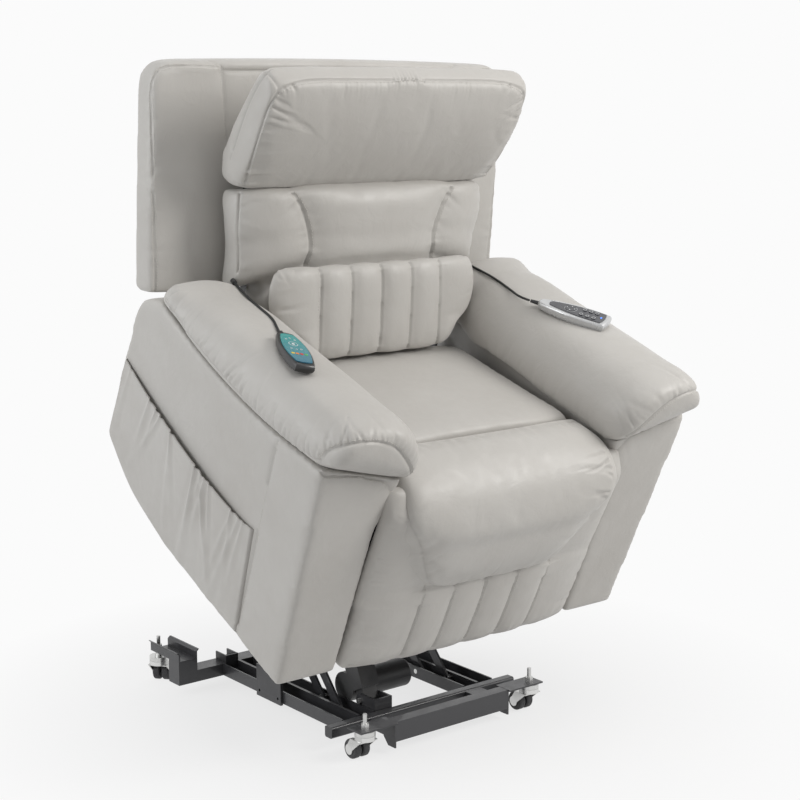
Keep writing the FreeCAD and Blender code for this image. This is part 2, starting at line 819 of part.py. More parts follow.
def footrest_cushion():
    wires = []
    for z, draw in end_stations(2, legrest_seam_z + 14, 26, 26, 3):
        if z > legrest_seam_z / 2:
            draw = 0
        face = legrest_face + channel_rise / 2 - 3 * sin(radians(180 * z / legrest_seam_z)) + 12 * draw
        wires.append(channelled(legrest_half - 8 * draw, legrest_seam_x, face, legrest_face + 19 + 3 * draw,
                                legrest_back, channel_rise / 1.5 * (1 - 0.6 * draw),
                                lambda x, y, z=z: V(x, y, z)))
    pad = lofted(wires)
    hollow = cyl_x(-legrest_half - 20, legrest_half + 20, (legrest_pivot_y, legrest_pivot_z),
                   seam_radius + soft_gap)
    return largest(pad.cut(hollow))


def front_pad():
    """Pad that rolls over the seat's front; its underside follows the footrest's swing."""
    angle = asin((legrest_pivot_y - front_pad_rear) / seam_radius)
    low_z = legrest_pivot_z - seam_radius * cos(angle)
    seam_y = legrest_pivot_y - (seam_radius ** 2 - (legrest_pivot_z - legrest_seam_z) ** 2) ** 0.5
    span = hypot(front_pad_rear - seam_y, legrest_seam_z - low_z)
    sag = seam_radius - (seam_radius ** 2 - span ** 2 / 4) ** 0.5
    deck_z = front_deck_low + deck
    wires = []
    for x, draw in end_stations(-front_pad_half, front_pad_half, 50, 50, 3):
        top = front_pad_top - 30 * draw
        points = [(seat_front - 1, top - 10), (30, top - 8), (apron_face + 10 * draw, apron_brow_z),
                  (seam_y, legrest_seam_z), (front_pad_rear, low_z), (front_pad_rear, deck_z),
                  (seat_front - 1, deck_z)]
        rises = [8, 34 - 8 * draw, 4, sag, 0, 0, 0]
        wires.append(outline(points, rises, lambda y, z, x=x: V(x, y, z)))
    pad = lofted(wires)
    for side in (arm_pad(), arm()):
        pad = pad.cut(side).cut(mirrored(side))
    return largest(pad)


def seat_cushion():
    wires = []
    for y, draw in end_stations(seat_front, seat_back, 24, 24, 3):
        top = seat_high - seat_slope * (y - seat_front) - 13 * draw
        half = seat_half - 6 * draw
        points = [(-half, deck_top), (half, deck_top), (half, top), (-half, top)]
        wires.append(outline(points, [0, 3, seat_crown, 3], lambda x, z, y=y: V(x, y, z)))
    rod_notch = cyl_x(legrest_x - actuator_rod - side_gap, legrest_x + actuator_rod + side_gap, legrest_end,
                      legrest_pin + legrest_pivot_gap + rod_eye + side_gap)
    return lofted(wires).cut(rod_notch)


# Arms

def arm_pad():
    """Pillow top of the right arm, from its rounded front end to its back end."""
    wires = []
    for y, draw in end_stations(-pad_overhang, pad_length, 60, 30, 4):
        share = (y + pad_overhang) / (pad_length + pad_overhang)
        top = pad_front_top + share * (pad_back_top - pad_front_top) - (30 - 12 * share) * draw
        inner_low = pad_inner_low - 52 * share + 50 * draw
        outer_low = pad_outer_low - 130 * share * (1 - share) - 14 * share + (30 - 44 * share) * draw
        tuck = 26 * draw
        points = [(pad_inner + tuck, inner_low), (pad_outer - tuck, outer_low),
                  (pad_crown_outer - tuck / 2, top - 6), (pad_crown_inner + tuck / 2, top - 14)]
        wires.append(outline(points, [0, 12 - 8 * draw, 6, 28 - 22 * draw], lambda x, z, y=y: V(x, y, z)))
    return lofted(wires)


def arm():
    """Padded panels of the right arm: a deep shell with an open underside."""
    side = prism_x([(0, 0), (arm_flat, 0), (arm_back_y, arm_back_z), (arm_shoulder_y, arm_shoulder_z),
                    (arm_step_y, arm_step_z), (arm_dip_y, arm_dip_z), (arm_front_y + arm_brow_back, arm_brow_z),
                    (arm_front_y, arm_front_z)],
                   [0, 14, 6, 8, 3, 0, 4, 0], pad_inner - 10, pad_outer + 10)
    front = prism_y([(arm_inner, 0), (arm_bottom_outer, 0), (arm_top_outer, arm_front_z),
                     (arm_top_outer, arm_lid), (arm_inner_top, arm_lid), (arm_inner_top, arm_neck_z),
                     (arm_inner, arm_straight)],
                    [0, 0, 0, 0, 0, 6, 0], -20, arm_back_y + 20)
    hollow = box(arm_inner + arm_wall, arm_bottom_outer - arm_wall, 2 * arm_wall,
                 arm_shoulder_y - 2 * arm_wall, -1, arm_front_z - arm_roof)
    return largest(side.common(front).cut(hollow).cut(arm_pad()))


def pocket_slab(points, rises, inner, outer):
    """Piece of the arm's outer side, between two distances out from its leaning face."""
    side = prism_x(points, rises, -pad_outer - 30, -arm_inner)
    slab = prism_y([(-arm_bottom_outer - outer, 0), (-arm_bottom_outer - inner, 0),
                    (-arm_top_outer - inner, arm_front_z), (-arm_top_outer - outer, arm_front_z)],
                   [0, 0, 0, 0], 0, arm_back_y)
    return side.common(slab)


def side_pocket():
    """Gathered pocket on the outside of the left arm, open along its top edge."""
    depth = pocket_slot + pocket_wall
    panel = pocket_slab([(pocket_front_y, pocket_front_low), (pocket_middle_y, pocket_middle_low),
                         (pocket_rear_y, pocket_rear_low), (pocket_back_y, pocket_back_high),
                         (pocket_dip_y, pocket_dip_high), (pocket_mouth_y, pocket_front_high)],
                        [0, 6, 4, -5, -3, 0], 0, depth)
    hem = pocket_hem
    slot = pocket_slab([(pocket_mouth_y + hem, pocket_front_low + hem),
                        (pocket_middle_y - hem, pocket_middle_low + hem),
                        (pocket_rear_y - hem, pocket_rear_low + hem), (pocket_back_y - hem, pocket_slot_top),
                        (pocket_dip_y, pocket_slot_top), (pocket_mouth_y + hem, pocket_slot_top)],
                       [0, 6, 0, 0, 0, 0], -1, pocket_slot)
    return largest(panel.cut(slot))


# Backrest, drawn in its own frame with n in place of y and u in place of z

def back_frame_eye(radius, x0, x1):
    pivot = back_uv(back_pivot_y, back_pivot_z)
    return bar_plate(pivot, (back_frame_front + 14, pivot[1] + 20), radius, x0, x1)


def back_frame():
    pivot = back_uv(back_pivot_y, back_pivot_z)
    x1 = back_frame_half
    x0 = x1 - back_frame_bar
    upright = box(x0, x1, back_frame_front, back_frame_back, pivot[1] + 4, back_frame_top)
    eye = back_frame_eye(hinge_eye - 3, x0, x1)
    pin = cyl_x(x0, side_plate_inner + side_plate_thick, pivot, back_pin)
    half = joined([upright, eye, pin])
    bars = [box(-x0, x0, back_frame_front, back_frame_back, u, u + back_frame_bar)
            for u in (pivot[1] + 18, shell_low + 40, back_frame_top - back_frame_bar)]
    lever_end = back_uv(recline_end[0], recline_end[1])
    lever_x = recline_x - actuator_rod - side_gap
    lever = bar_plate((back_frame_front + 14, pivot[1] + 28), lever_end, lever_half, lever_x - link_thick, lever_x)
    lever_pin = cyl_x(lever_x, recline_x + actuator_rod, lever_end, back_pin)
    ears = [bar_plate((head_pivot_n, head_pivot_u), (head_pivot_n, back_frame_top - 8), 10, x, x + 6)
            for x in (60, -66)]
    frame = joined([half, mirrored(half)] + bars + [lever, lever_pin] + ears)
    return frame.cut(cyl_x(-70, 70, (head_pivot_n, head_pivot_u), head_shaft + running_gap))


def back_shell():
    """Padded panel behind the backrest's frame, with rounded upper corners and edges."""
    rise = shell_corner * (1 - cos(radians(45)))
    points = [(-shell_half, shell_low), (shell_half, shell_low), (shell_half, shell_high - shell_corner),
              (shell_half - shell_corner, shell_high), (-shell_half + shell_corner, shell_high),
              (-shell_half, shell_high - shell_corner)]
    wire = outline(points, [0, 0, rise, 5, rise, 0], lambda x, u: V(x, back_frame_back, u))
    shell = Part.Face(wire).extrude(V(0, shell_thick, 0))
    rims = [e for e in shell.Edges
            if abs(e.tangentAt(e.FirstParameter).y) < 0.01 and e.CenterOfMass.z > shell_low + 1]
    return shell.makeFillet(shell_round, rims)


def lobed(half, seam_x, side, face, back, rise, place):
    points = [(-half, side), (-seam_x, face), (seam_x, face), (half, side), (half, back), (-half, back)]
    return outline(points, [rise, rise * 1.3, rise, 4, 0, 4], place)


def back_cushion():
    lower = []
    for u, draw in end_stations(back_low, back_waist + 6, 24, 24, 2):
        draw = draw if u < back_waist - 60 else 0
        lower.append(lobed(back_low_half - 4 * draw, back_low_seam_x, back_face + 24 + 14 * draw,
                           back_face + 8 + 14 * draw, back_frame_front, 1, lambda x, n, u=u: V(x, n, u)))
    upper = []
    for u, draw in end_stations(back_waist, back_high, 20, 30, 1):
        upper.append(lobed(back_half - 10 * draw, back_seam_x, back_face + 30 + 18 * draw, back_face + 18 * draw,
                           back_frame_front, 7 - 3 * draw, lambda x, n, u=u: V(x, n, u)))
    eye = back_frame_eye(hinge_eye - 3 + soft_gap, -side_plate_inner, side_plate_inner)
    return joined([lofted(lower), lofted(upper)]).cut(eye)


def lumbar_pillow():
    wires = []
    for u, draw in end_stations(lumbar_low, lumbar_high, 22, 22, 2):
        share = (u - lumbar_low) / (lumbar_high - lumbar_low)
        half = lumbar_half * (0.86 + 0.14 * sin(radians(130 * share))) - 6 * draw
        wires.append(channelled(half, lumbar_seam_x, lumbar_face + 8 * draw, lumbar_face + 8, lumbar_back,
                                (channel_rise + 6) * (1 - 0.5 * draw), lambda x, n, u=u: V(x, n, u)))
    return lofted(wires)


def headrest_pillow():
    wires = []
    for x, draw in end_stations(-head_half, head_half, 26, 26, 3):
        d = 14 * draw
        points = [(head_low_n + d, head_low_u + d / 2), (head_rear - d / 2, head_rear_low + d / 2),
                  (head_rear - d / 2, head_rear_high - d), (head_top_n + d / 2, head_top_u - d),
                  (head_brow_n + d, head_brow_u - d / 2)]
        wires.append(outline(points, [3, 0, 8, 8, 12], lambda n, u, x=x: V(x, n, u)))
    return lofted(wires)


def headrest_bracket():
    pivot = (head_pivot_n, head_pivot_u)
    shaft = cyl_x(-92, 92, pivot, head_shaft)
    plate = box(-92, 92, head_rear, head_rear + head_plate, head_pivot_u - 8, head_pivot_u + 30)
    ear = bar_plate(pivot, (head_rear + 8, head_pivot_u + 8), 8, 80, 86)
    return joined([shaft, plate, ear, mirrored(ear)])


# Hand control and massage remote, drawn flat with their tail towards +Y

def placed_case(shape):
    moved = shape.copy()
    moved.rotate(ORIGIN, Z_AXIS, case_yaw)
    moved.rotate(ORIGIN, Y_AXIS, case_roll)
    moved.rotate(ORIGIN, X_AXIS, case_pitch)
    moved.translate(V(case_x, case_y, case_z))
    return moved


def placed_remote(shape):
    moved = shape.copy()
    moved.rotate(ORIGIN, Z_AXIS, remote_yaw)
    moved.rotate(ORIGIN, Y_AXIS, remote_roll)
    moved.rotate(ORIGIN, X_AXIS, remote_pitch)
    moved.translate(V(remote_x, remote_y, remote_z))
    return moved


def boat(length, end, tail, bulge, place):
    """Outline of a handset, wider at its front end than at its cord's end."""
    points = [(-end / 2, -length / 2), (end / 2, -length / 2), (tail / 2, length / 2), (-tail / 2, length / 2)]
    return outline(points, [3, bulge, 4, bulge], place)


def face_plate(length, end, tail, bulge, z0, z1):
    wire = boat(length, end, tail, bulge, lambda x, y: V(x, y, z0))
    return Part.Face(wire).extrude(V(0, 0, z1 - z0))


def tapered_case(length, end, tail, bulge, height):
    wires = []
    for z, draw in ((0, 5), (height * 0.35, 0), (height * 0.8, 0), (height, 3)):
        wires.append(boat(length - 2 * draw, end - draw, tail - draw, bulge, lambda x, y, z=z: V(x, y, z)))
    return lofted(wires)


def key_places():
    return [(column * key_pitch_x - key_pitch_x / 2, -key_first - row * key_pitch_y)
            for row in range(3) for column in range(2)]


def round_key(x, y, radius):
    low = case_height - key_depth + key_travel + 0.2
    return cyl_z(x, y, low, case_height + face_depth + key_rise, radius)


def control_case():
    case = tapered_case(case_length, case_end, case_tail, case_bulge, case_height)
    for x, y in key_places():
        case = case.cut(cyl_z(x, y, case_height - key_depth, case_height + 1, key_radius + key_gap))
    case = case.cut(cyl_z(0, pad_key_place, case_height - key_depth, case_height + 1, pad_key_radius + key_gap))
    return placed_case(case)


def control_face():
    face = face_plate(face_length, face_end, face_tail, face_bulge, case_height, case_height + face_depth)
    face.translate(V(0, face_shift, 0))
    for x, y in key_places():
        face = face.cut(cyl_z(x, y, case_height - 1, case_height + face_depth + 1, key_radius + key_gap))
    face = face.cut(cyl_z(0, pad_key_place, case_height - 1, case_height + face_depth + 1,
                          pad_key_radius + key_gap))
    return placed_case(face)


def remote_case():
    return placed_remote(tapered_case(remote_length, remote_end, remote_tail, remote_bulge, remote_height))


def remote_face():
    return placed_remote(face_plate(remote_length * face_share, remote_end * face_share,
                                    remote_tail * face_share, remote_bulge * face_share,
                                    remote_height, remote_height + face_depth))


def strain_relief(length, height):
    return Part.makeCone(relief_radius, cord_radius + 0.8, relief_length, V(0, length / 2 - 1, height / 2), Y_AXIS)


def grommet(route):
    """Rubber plug set into an arm pad, in line with the last run of a cord."""
    end = V(*route[-1])
    return Part.makeCylinder(grommet_radius, grommet_length, end, end - V(*route[-2]))


def strain_reliefs():
    first = placed_case(strain_relief(case_length, case_height))
    second = placed_remote(strain_relief(remote_length, remote_height))
    return Part.makeCompound([first, second, grommet(hand_control_route), grommet(massage_route)])


def cord(name, route):
    """Round cord: straight runs joined by tangent arcs."""
    points = [V(*place) for place in route]
    edges = []
    start = points[0]
    for i in range(1, len(points) - 1):
        before = points[i] - points[i - 1]
        after = points[i + 1] - points[i]
        half_turn = before.getAngle(after) / 2
        cut = bend_share * min(before.Length, after.Length)
        bend = cut / tan(half_turn)
        before.normalize()
        after.normalize()
        inward = (after - before).normalize()
        first = points[i] - before * cut
        last = points[i] + after * cut
        edges.append(Part.LineSegment(start, first).toShape())
        edges.append(Part.Arc(first, points[i] + inward * (bend / cos(half_turn) - bend), last).toShape())
        print(name, "bend radius", round(bend, 1))
        start = last
    edges.append(Part.LineSegment(start, points[-1]).toShape())
    path = Part.Wire(edges)
    section = Part.Wire(Part.makeCircle(cord_radius, points[0], points[1] - points[0]))
    tube = path.makePipeShell([section], True, True)
    print(name, "volume over section times length", round(tube.Volume / (pi * cord_radius ** 2 * path.Length), 4))
    return tube


def chair_nodes():
    nodes = {
        "seat_frame": seat_frame(), "seat_cushion": seat_cushion(), "front_pad": front_pad(),
        "arm_right": arm(), "arm_left": mirrored(arm()),
        "arm_pad_right": arm_pad(), "arm_pad_left": mirrored(arm_pad()),
        "side_pocket": side_pocket(),
        "footrest_arms": footrest_arms(), "footrest_board": footrest_board(),
        "footrest_cushion": footrest_cushion(),
        "hand_control_case": control_case(), "hand_control_face": control_face(),
        "massage_remote_case": remote_case(), "massage_remote_face": remote_face(),
        "strain_reliefs": strain_reliefs(),
        "hand_control_cord": cord("hand_control_cord", hand_control_route),
        "massage_cord": cord("massage_cord", massage_route),
        "back_frame": on_back(back_frame()), "back_shell": on_back(back_shell()),
        "back_cushion": on_back(back_cushion()), "lumbar_pillow": on_back(lumbar_pillow()),
        "headrest_pillow": on_back(headrest_pillow()), "headrest_bracket": on_back(headrest_bracket()),
    }
    nodes["hand_control_pad"] = placed_case(round_key(0, pad_key_place, pad_key_radius))
    for number, (x, y) in enumerate(key_places(), start=1):
        nodes[f"hand_control_key_{number}"] = placed_case(round_key(x, y, key_radius))
    for name, start, end, pin, gap, x in (
            ("recline", recline_start, recline_end, back_pin, recline_pivot_gap, recline_x),
            ("footrest", legrest_start, legrest_end, legrest_pin, legrest_pivot_gap, legrest_x)):
        nodes[f"{name}_actuator"] = aimed(actuator_body(start, end, seat_tube), start, end, x)
        nodes[f"{name}_actuator_rod"] = aimed(actuator_shaft(start, end, pin, gap), start, end, x)
    return {name: raised(shape) for name, shape in nodes.items()}


def base_nodes():
    nodes = {
        "front_caster_bar": front_caster_bar(), "caster_brackets": caster_brackets(),
        "front_cross_tube": front_cross_tube(), "side_rails": side_rails(), "pivot_pins": pivot_pins(),
        "rear_crossbar": rear_crossbar(), "rear_saddles": rear_saddles(), "rail_uprights": rail_uprights(),
        "caster_stems": caster_stems(), "lift_clevis": lift_clevis(),
        "front_lift_links": link(foot_a, head_a, front_link_x), "rear_lift_links": link(foot_b, head_b, rear_link_x),
        "lift_carriage": lift_carriage(),
        "lift_gearbox": lift_gearbox(), "lift_motor": lift_motor(), "lift_tube": lift_tube(),
        "lift_rod": lift_rod(),
    }
    corners = {"front_left": (-stem_x, stem_y, 0), "front_right": (stem_x, stem_y, 0),
               "rear_left": (-rear_stem_x, rear_stem_y, rear_left_swivel), "rear_right": (rear_stem_x, rear_stem_y, 0)}
    for corner, (x, y, swivel) in corners.items():
        nodes[f"caster_fork_{corner}"] = caster_fork(x, y, swivel)
        nodes[f"caster_wheels_{corner}"] = caster_wheels(x, y, swivel)
    return nodes


def main():
    os.makedirs("parts", exist_ok=True)
    nodes = base_nodes()
    nodes.update(chair_nodes())
    for name, shape in nodes.items():
        shape.exportStep(f"parts/{name}.step")
        print(name, "solids", len(shape.Solids), "valid", shape.isValid(), "volume", round(shape.Volume))
    print("nodes", len(nodes))


main()
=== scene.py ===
# A powered lift recliner in pale leather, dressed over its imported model.
# Lengths are metres in the row frame unless a name or note says millimetres.
# "Chair frame" is the upholstered body's own frame, which stands tilted forward. Its points are
# millimetres to the right of, back from and up from the chair's lower front corner.

import json
import logging
import math
from dataclasses import dataclass, field, replace
from enum import Enum

import bmesh
import bpy
import numpy as np
from mathutils import Euler, Matrix, Vector
from mathutils.bvhtree import BVHTree


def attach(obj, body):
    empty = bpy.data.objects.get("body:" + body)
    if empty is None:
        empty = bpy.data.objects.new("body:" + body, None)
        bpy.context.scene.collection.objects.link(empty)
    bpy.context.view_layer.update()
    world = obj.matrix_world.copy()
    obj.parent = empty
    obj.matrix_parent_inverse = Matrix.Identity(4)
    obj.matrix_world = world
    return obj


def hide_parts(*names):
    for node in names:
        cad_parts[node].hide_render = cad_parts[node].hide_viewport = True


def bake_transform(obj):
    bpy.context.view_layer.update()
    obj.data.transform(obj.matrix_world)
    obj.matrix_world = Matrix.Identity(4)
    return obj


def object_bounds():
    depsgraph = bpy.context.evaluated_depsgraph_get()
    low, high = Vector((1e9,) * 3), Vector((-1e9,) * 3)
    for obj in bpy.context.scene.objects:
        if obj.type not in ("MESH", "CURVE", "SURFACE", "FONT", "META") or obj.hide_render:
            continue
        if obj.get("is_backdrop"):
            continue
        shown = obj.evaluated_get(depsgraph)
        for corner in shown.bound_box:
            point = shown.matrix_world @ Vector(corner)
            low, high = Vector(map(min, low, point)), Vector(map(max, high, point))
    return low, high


log = logging.getLogger("lift_recliner")
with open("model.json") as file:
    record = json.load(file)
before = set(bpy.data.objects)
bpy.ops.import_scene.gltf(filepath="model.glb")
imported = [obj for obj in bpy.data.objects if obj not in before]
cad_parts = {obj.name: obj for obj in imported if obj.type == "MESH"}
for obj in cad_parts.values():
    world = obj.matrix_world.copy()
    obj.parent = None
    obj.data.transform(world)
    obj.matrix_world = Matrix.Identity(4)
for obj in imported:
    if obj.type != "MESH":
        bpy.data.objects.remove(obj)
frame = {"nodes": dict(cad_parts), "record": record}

TILT = math.radians(26.0)
CORNER = np.array([0.0, -0.2158, 0.19])
SIDES = (-1, 1)
SMALL = 1e-6
TINY = 1e-9
CURVE_STEPS = 24
LAID_STEP = 0.002
POINTS_AT_ONCE = 20000
SMOOTHED_NORMALS = 15

# How puckers are drawn: place and width in pitches, reach in a seam's reaches.
PUCKER_PLACE = (-0.4, 0.4)
PUCKER_LEAN = (-0.45, 0.45)
PUCKER_REACH = (0.45, 1.25)
PUCKER_WIDTH = (0.2, 0.38)
PUCKER_HEIGHT = (0.35, 1.0)
PUCKER_SPREAD = 0.9
GROOVE_CLEAR = 3.0


def chair(x: float, forward: float, up: float) -> np.ndarray:
    """Turns a chair-frame point into the row frame.

    Args:
        x: Millimetres to the right.
        forward: Millimetres back from the chair's lower front corner.
        up: Millimetres up from that corner.

    Returns:
        The point in metres.
    """
    back = forward * math.cos(TILT) - up * math.sin(TILT)
    rise = forward * math.sin(TILT) + up * math.cos(TILT)
    return CORNER + np.array([x, back, rise]) / 1000.0


def chair_local(points: np.ndarray) -> np.ndarray:
    """Turns row-frame points into the chair frame.

    Args:
        points: Rows of points in metres.

    Returns:
        Rows of millimetres to the right, back and up.
    """
    away = (points - CORNER) * 1000
    forward = away[:, 1] * math.cos(TILT) + away[:, 2] * math.sin(TILT)
    up = away[:, 2] * math.cos(TILT) - away[:, 1] * math.sin(TILT)
    return np.stack([away[:, 0], forward, up], 1)


def chair_points(points: tuple) -> np.ndarray:
    """Returns several chair-frame points as rows in the row frame."""
    return np.array([chair(*point) for point in points])


def chair_move(x: float, forward: float, up: float) -> np.ndarray:
    """Returns a chair-frame move in millimetres as a row-frame move in metres."""
    return chair(x, forward, up) - CORNER


def to_side(points: tuple, side: int) -> tuple:
    """Returns points that are given for the right side on a side, -1 for the left."""
    return tuple((side * x, forward, up) for x, forward, up in points)


def whole(half: tuple) -> tuple:
    """Returns a line over both sides from its right half, which starts in the middle."""
    return to_side(tuple(reversed(half)), -1)[:-1] + half


def at_places(points: tuple, places: tuple) -> list:
    """Returns a line that is given without its x at several x."""
    return [tuple((x, *point) for point in points) for x in places]


def smooth_line(points: np.ndarray, step: float) -> np.ndarray:
    """Draws an even curve through a few points.

    Args:
        points: The points that the curve passes.
        step: The distance between the returned points.

    Returns:
        Points along the curve, evenly spaced.
    """
    ends = np.vstack([2 * points[0] - points[1], points, 2 * points[-1] - points[-2]])
    t = np.linspace(0, 1, CURVE_STEPS, endpoint=False)[:, None]
    rows = []
    for a, b, c, d in zip(ends[:-3], ends[1:-2], ends[2:-1], ends[3:]):
        square, cube = 2 * a - 5 * b + 4 * c - d, 3 * b - a - 3 * c + d
        rows.append(0.5 * (2 * b + (c - a) * t + square * t**2 + cube * t**3))
    rows.append(points[-1:])
    return even(np.vstack(rows), step)


def run_along(line: np.ndarray) -> np.ndarray:
    """Returns the distance along a line of each of its points."""
    return np.concatenate([[0], np.cumsum(np.linalg.norm(np.diff(line, axis=0), axis=1))])


def even(line: np.ndarray, step: float) -> np.ndarray:
    """Spaces a line's points evenly.

    Args:
        line: Rows along the line.
        step: The distance between the new points.

    Returns:
        The new rows, three at least.
    """
    run = run_along(line)
    marks = np.linspace(0, run[-1], max(3, int(run[-1] / step)))
    return np.stack([np.interp(marks, run, line[:, k]) for k in range(3)], 1)


def unit(rows: np.ndarray) -> np.ndarray:
    """Returns each row at length 1."""
    return rows / np.maximum(np.linalg.norm(rows, axis=1), TINY)[:, None]


def tangents(line: np.ndarray) -> np.ndarray:
    """Returns the unit direction of a line at each of its points."""
    return unit(np.gradient(line, axis=0))


class Surface:
    """A mesh's points, held as rows while it is shaped."""

    def __init__(self, mesh: bpy.types.Mesh) -> None:
        """Reads the points of a mesh.

        Args:
            mesh: The mesh that is shaped.
        """
        self.mesh = mesh
        self.points = np.empty(len(mesh.vertices) * 3, np.float32)
        mesh.vertices.foreach_get("co", self.points)
        self.points = self.points.reshape(-1, 3).astype(float)

    def write(self) -> None:
        """Puts the points back into the mesh."""
        self.mesh.vertices.foreach_set("co", self.points.astype(np.float32).ravel())
        self.mesh.update()

    def normals(self) -> np.ndarray:
        """Works out the surface's normals.

        Returns:
            The unit normal at each point.
        """
        self.write()
        found = np.empty(len(self.points) * 3, np.float32)
        self.mesh.vertex_normals.foreach_get("vector", found)
        return found.reshape(-1, 3).astype(float)

    def relax(self, rounds: int, share: float = 0.5) -> None:
        """Draws each point towards the middle of its neighbours.

        Args:
            rounds: How many times.
            share: How far, from 0 to 1.
        """
        edges = np.empty(len(self.mesh.edges) * 2, np.int32)
        self.mesh.edges.foreach_get("vertices", edges)
        a, b = edges.reshape(-1, 2).T
        size = len(self.points)
        count = np.bincount(edges, minlength=size)[:, None]
        for _ in range(rounds):
            axes = self.points.T
            total = [np.bincount(a, axis[b], size) + np.bincount(b, axis[a], size) for axis in axes]
            self.points += share * (np.stack(total, 1) / count - self.points)

    def tree(self) -> BVHTree:
        """Builds a search tree.

        Returns:
            The tree of the faces as they are now.
        """
        self.write()
        polygons = [tuple(p.vertices) for p in self.mesh.polygons]
        return BVHTree.FromPolygons(self.points.tolist(), polygons)


@dataclass(frozen=True)
class Seam:
    """A sewn line over a soft piece, sizes in millimetres.

    Args:
        points: Chair-frame points that the line passes.
        depth: How deep the sewn groove is.
        width: Half the groove's width.
        roll: How far the leather beside it falls towards the groove.
        roll_width: How far that fall reaches.
        gather: Height of the puckers that run off the line.
        reach: How far the puckers run.
        pitch: Distance between puckers.
        focus: Chair-frame point that the puckers run towards, or None for both sides.
        stitch: Offsets of the thread rows from the line.
    """

    points: tuple
    depth: float = 3.5
    width: float = 3.0
    roll: float = 3.0
    roll_width: float = 22.0
    gather: float = 0.0
    reach: float = 40.0
    pitch: float = 16.0
    focus: tuple | None = None
    stitch: tuple = ()

    def on(self, side: int) -> "Seam":
        """Returns the seam, given for the right side, on a side."""
        focus = None if self.focus is None else to_side((self.focus,), side)[0]
        return replace(self, points=to_side(self.points, side), focus=focus)

    def laid(self, tree: BVHTree) -> np.ndarray:
        """Lays the line onto a surface.

        Args:
            tree: The surface's search tree.

        Returns:
            Rows along the line, close together.
        """
        line = smooth_line(chair_points(self.points), LAID_STEP)
        for _ in range(2):
            line = np.array([tree.find_nearest(Vector(p))[0] for p in line])
            line[1:-1] = (line[:-2] + line[1:-1] + line[2:]) / 3
        return line

    def carve(self, surface: Surface, line: np.ndarray, seed: int) -> None:
        """Sinks the seam into a surface and raises its puckers.

        Args:
            surface: The surface that changes.
            line: The line, laid on the surface.
            seed: Number that the puckers are drawn from.
        """
        pucker_felt, roll_felt = self.reach * 1.6, self.roll_width * 2.5
        far = max(pucker_felt, roll_felt) / 1000
        low, high = line.min(0) - far, line.max(0) + far
        near = np.flatnonzero(((surface.points > low) & (surface.points < high)).all(1))
        if not len(near):
            return
        points, normals = surface.points[near], surface.normals()[near]
        place, distance, run, away = beside(points, line)
        mm = distance * 1000
        groove = self.depth * np.exp(-((mm / self.width) ** 2))
        rise = -groove - self.roll * np.exp(-((mm / self.roll_width) ** 1.5))
        if self.gather:
            rise += self.puckers(mm, run * 1000, away, line[place], seed)
        ways = surface_way(line, normals, place)
        facing = np.clip(np.einsum("ij,ij->i", normals, ways) * 2, 0, 1)
        surface.points[near] += normals * (rise * facing / 1000)[:, None]

    def towards(self, away: np.ndarray, foot: np.ndarray) -> np.ndarray:
        """Works out how far each point lies on the side of the focus.

        Args:
            away: Offsets from the line.
            foot: Nearest points on the line.

        Returns:
            The cosine between each offset and the way to the focus.
        """
        aim = chair(*self.focus) - foot
        length = np.linalg.norm(aim, axis=1) * np.maximum(np.linalg.norm(away, axis=1), SMALL)
        return np.einsum("ij,ij->i", aim, away) / length

    def puckers(
        self, mm: np.ndarray, run: np.ndarray, away: np.ndarray, foot: np.ndarray, seed: int
    ) -> np.ndarray:
        """Works out the height of the drawn-up leather at each point.

        Args:
            mm: Distance from the line.
            run: Place along the line.
            away: Offset from the line, in metres.
            foot: Nearest point on the line, in metres.
            seed: Number that the puckers are drawn from.

        Returns:
            Millimetres, one for each point.
        """
        chance = np.random.default_rng(seed)
        share = np.ones(len(mm))
        if self.focus is not None:
            share = np.clip(self.towards(away, foot) * 2.0, 0, 1)
        height = np.zeros(len(mm))
        for start in np.arange(0, run.max() + self.pitch, self.pitch):
            place = start + chance.uniform(*PUCKER_PLACE) * self.pitch
            lean = chance.uniform(*PUCKER_LEAN)
            reach = self.reach * chance.uniform(*PUCKER_REACH)
            spread = 1 + PUCKER_SPREAD * mm / self.reach
            width = self.pitch * chance.uniform(*PUCKER_WIDTH) * spread
            across = (run - place - lean * mm) / width
            hat = (1 - 1.6 * across**2) * np.exp(-(across**2))
            height -= chance.uniform(*PUCKER_HEIGHT) * hat * np.exp(-((mm / reach) ** 1.4))
        clear_of_groove = 1 - np.exp(-((mm / GROOVE_CLEAR) ** 2))
        return self.gather * height * share * clear_of_groove


def beside(points: np.ndarray, line: np.ndarray) -> tuple:
    """Measures points against a line.

    Args:
        points: Rows of points.
        line: Rows along the line.

    Returns:
        The nearest line point's number, the distance, the place along the line and the offset,
        for each point.
    """
    place = np.empty(len(points), int)
    for first in range(0, len(points), POINTS_AT_ONCE):
        part = points[first:first + POINTS_AT_ONCE]
        square = (part**2).sum(1)[:, None] + (line**2).sum(1)[None] - 2 * part @ line.T
        place[first:first + POINTS_AT_ONCE] = square.argmin(1)
    way = tangents(line)[place]
    offset = points - line[place]
    step = np.linalg.norm(line[1] - line[0])
    along = np.clip(np.einsum("ij,ij->i", offset, way), -step, step)
    away = offset - way * along[:, None]
    return place, np.linalg.norm(away, axis=1), run_along(line)[place] + along, away


def surface_way(line: np.ndarray, normals: np.ndarray, place: np.ndarray) -> np.ndarray:
    """Finds the mean normal beside the stretch of line that each point is nearest to.

    Args:
        line: Rows along the line.
        normals: The points' normals.
        place: Number of the line point nearest to each point.

    Returns:
        A unit normal for each point.
    """
    kernel = np.ones(SMOOTHED_NORMALS) / SMOOTHED_NORMALS
    sums = [np.bincount(place, axis, len(line)) for axis in normals.T]
    return unit(np.stack([np.convolve(total, kernel, "same") for total in sums], 1))[place]


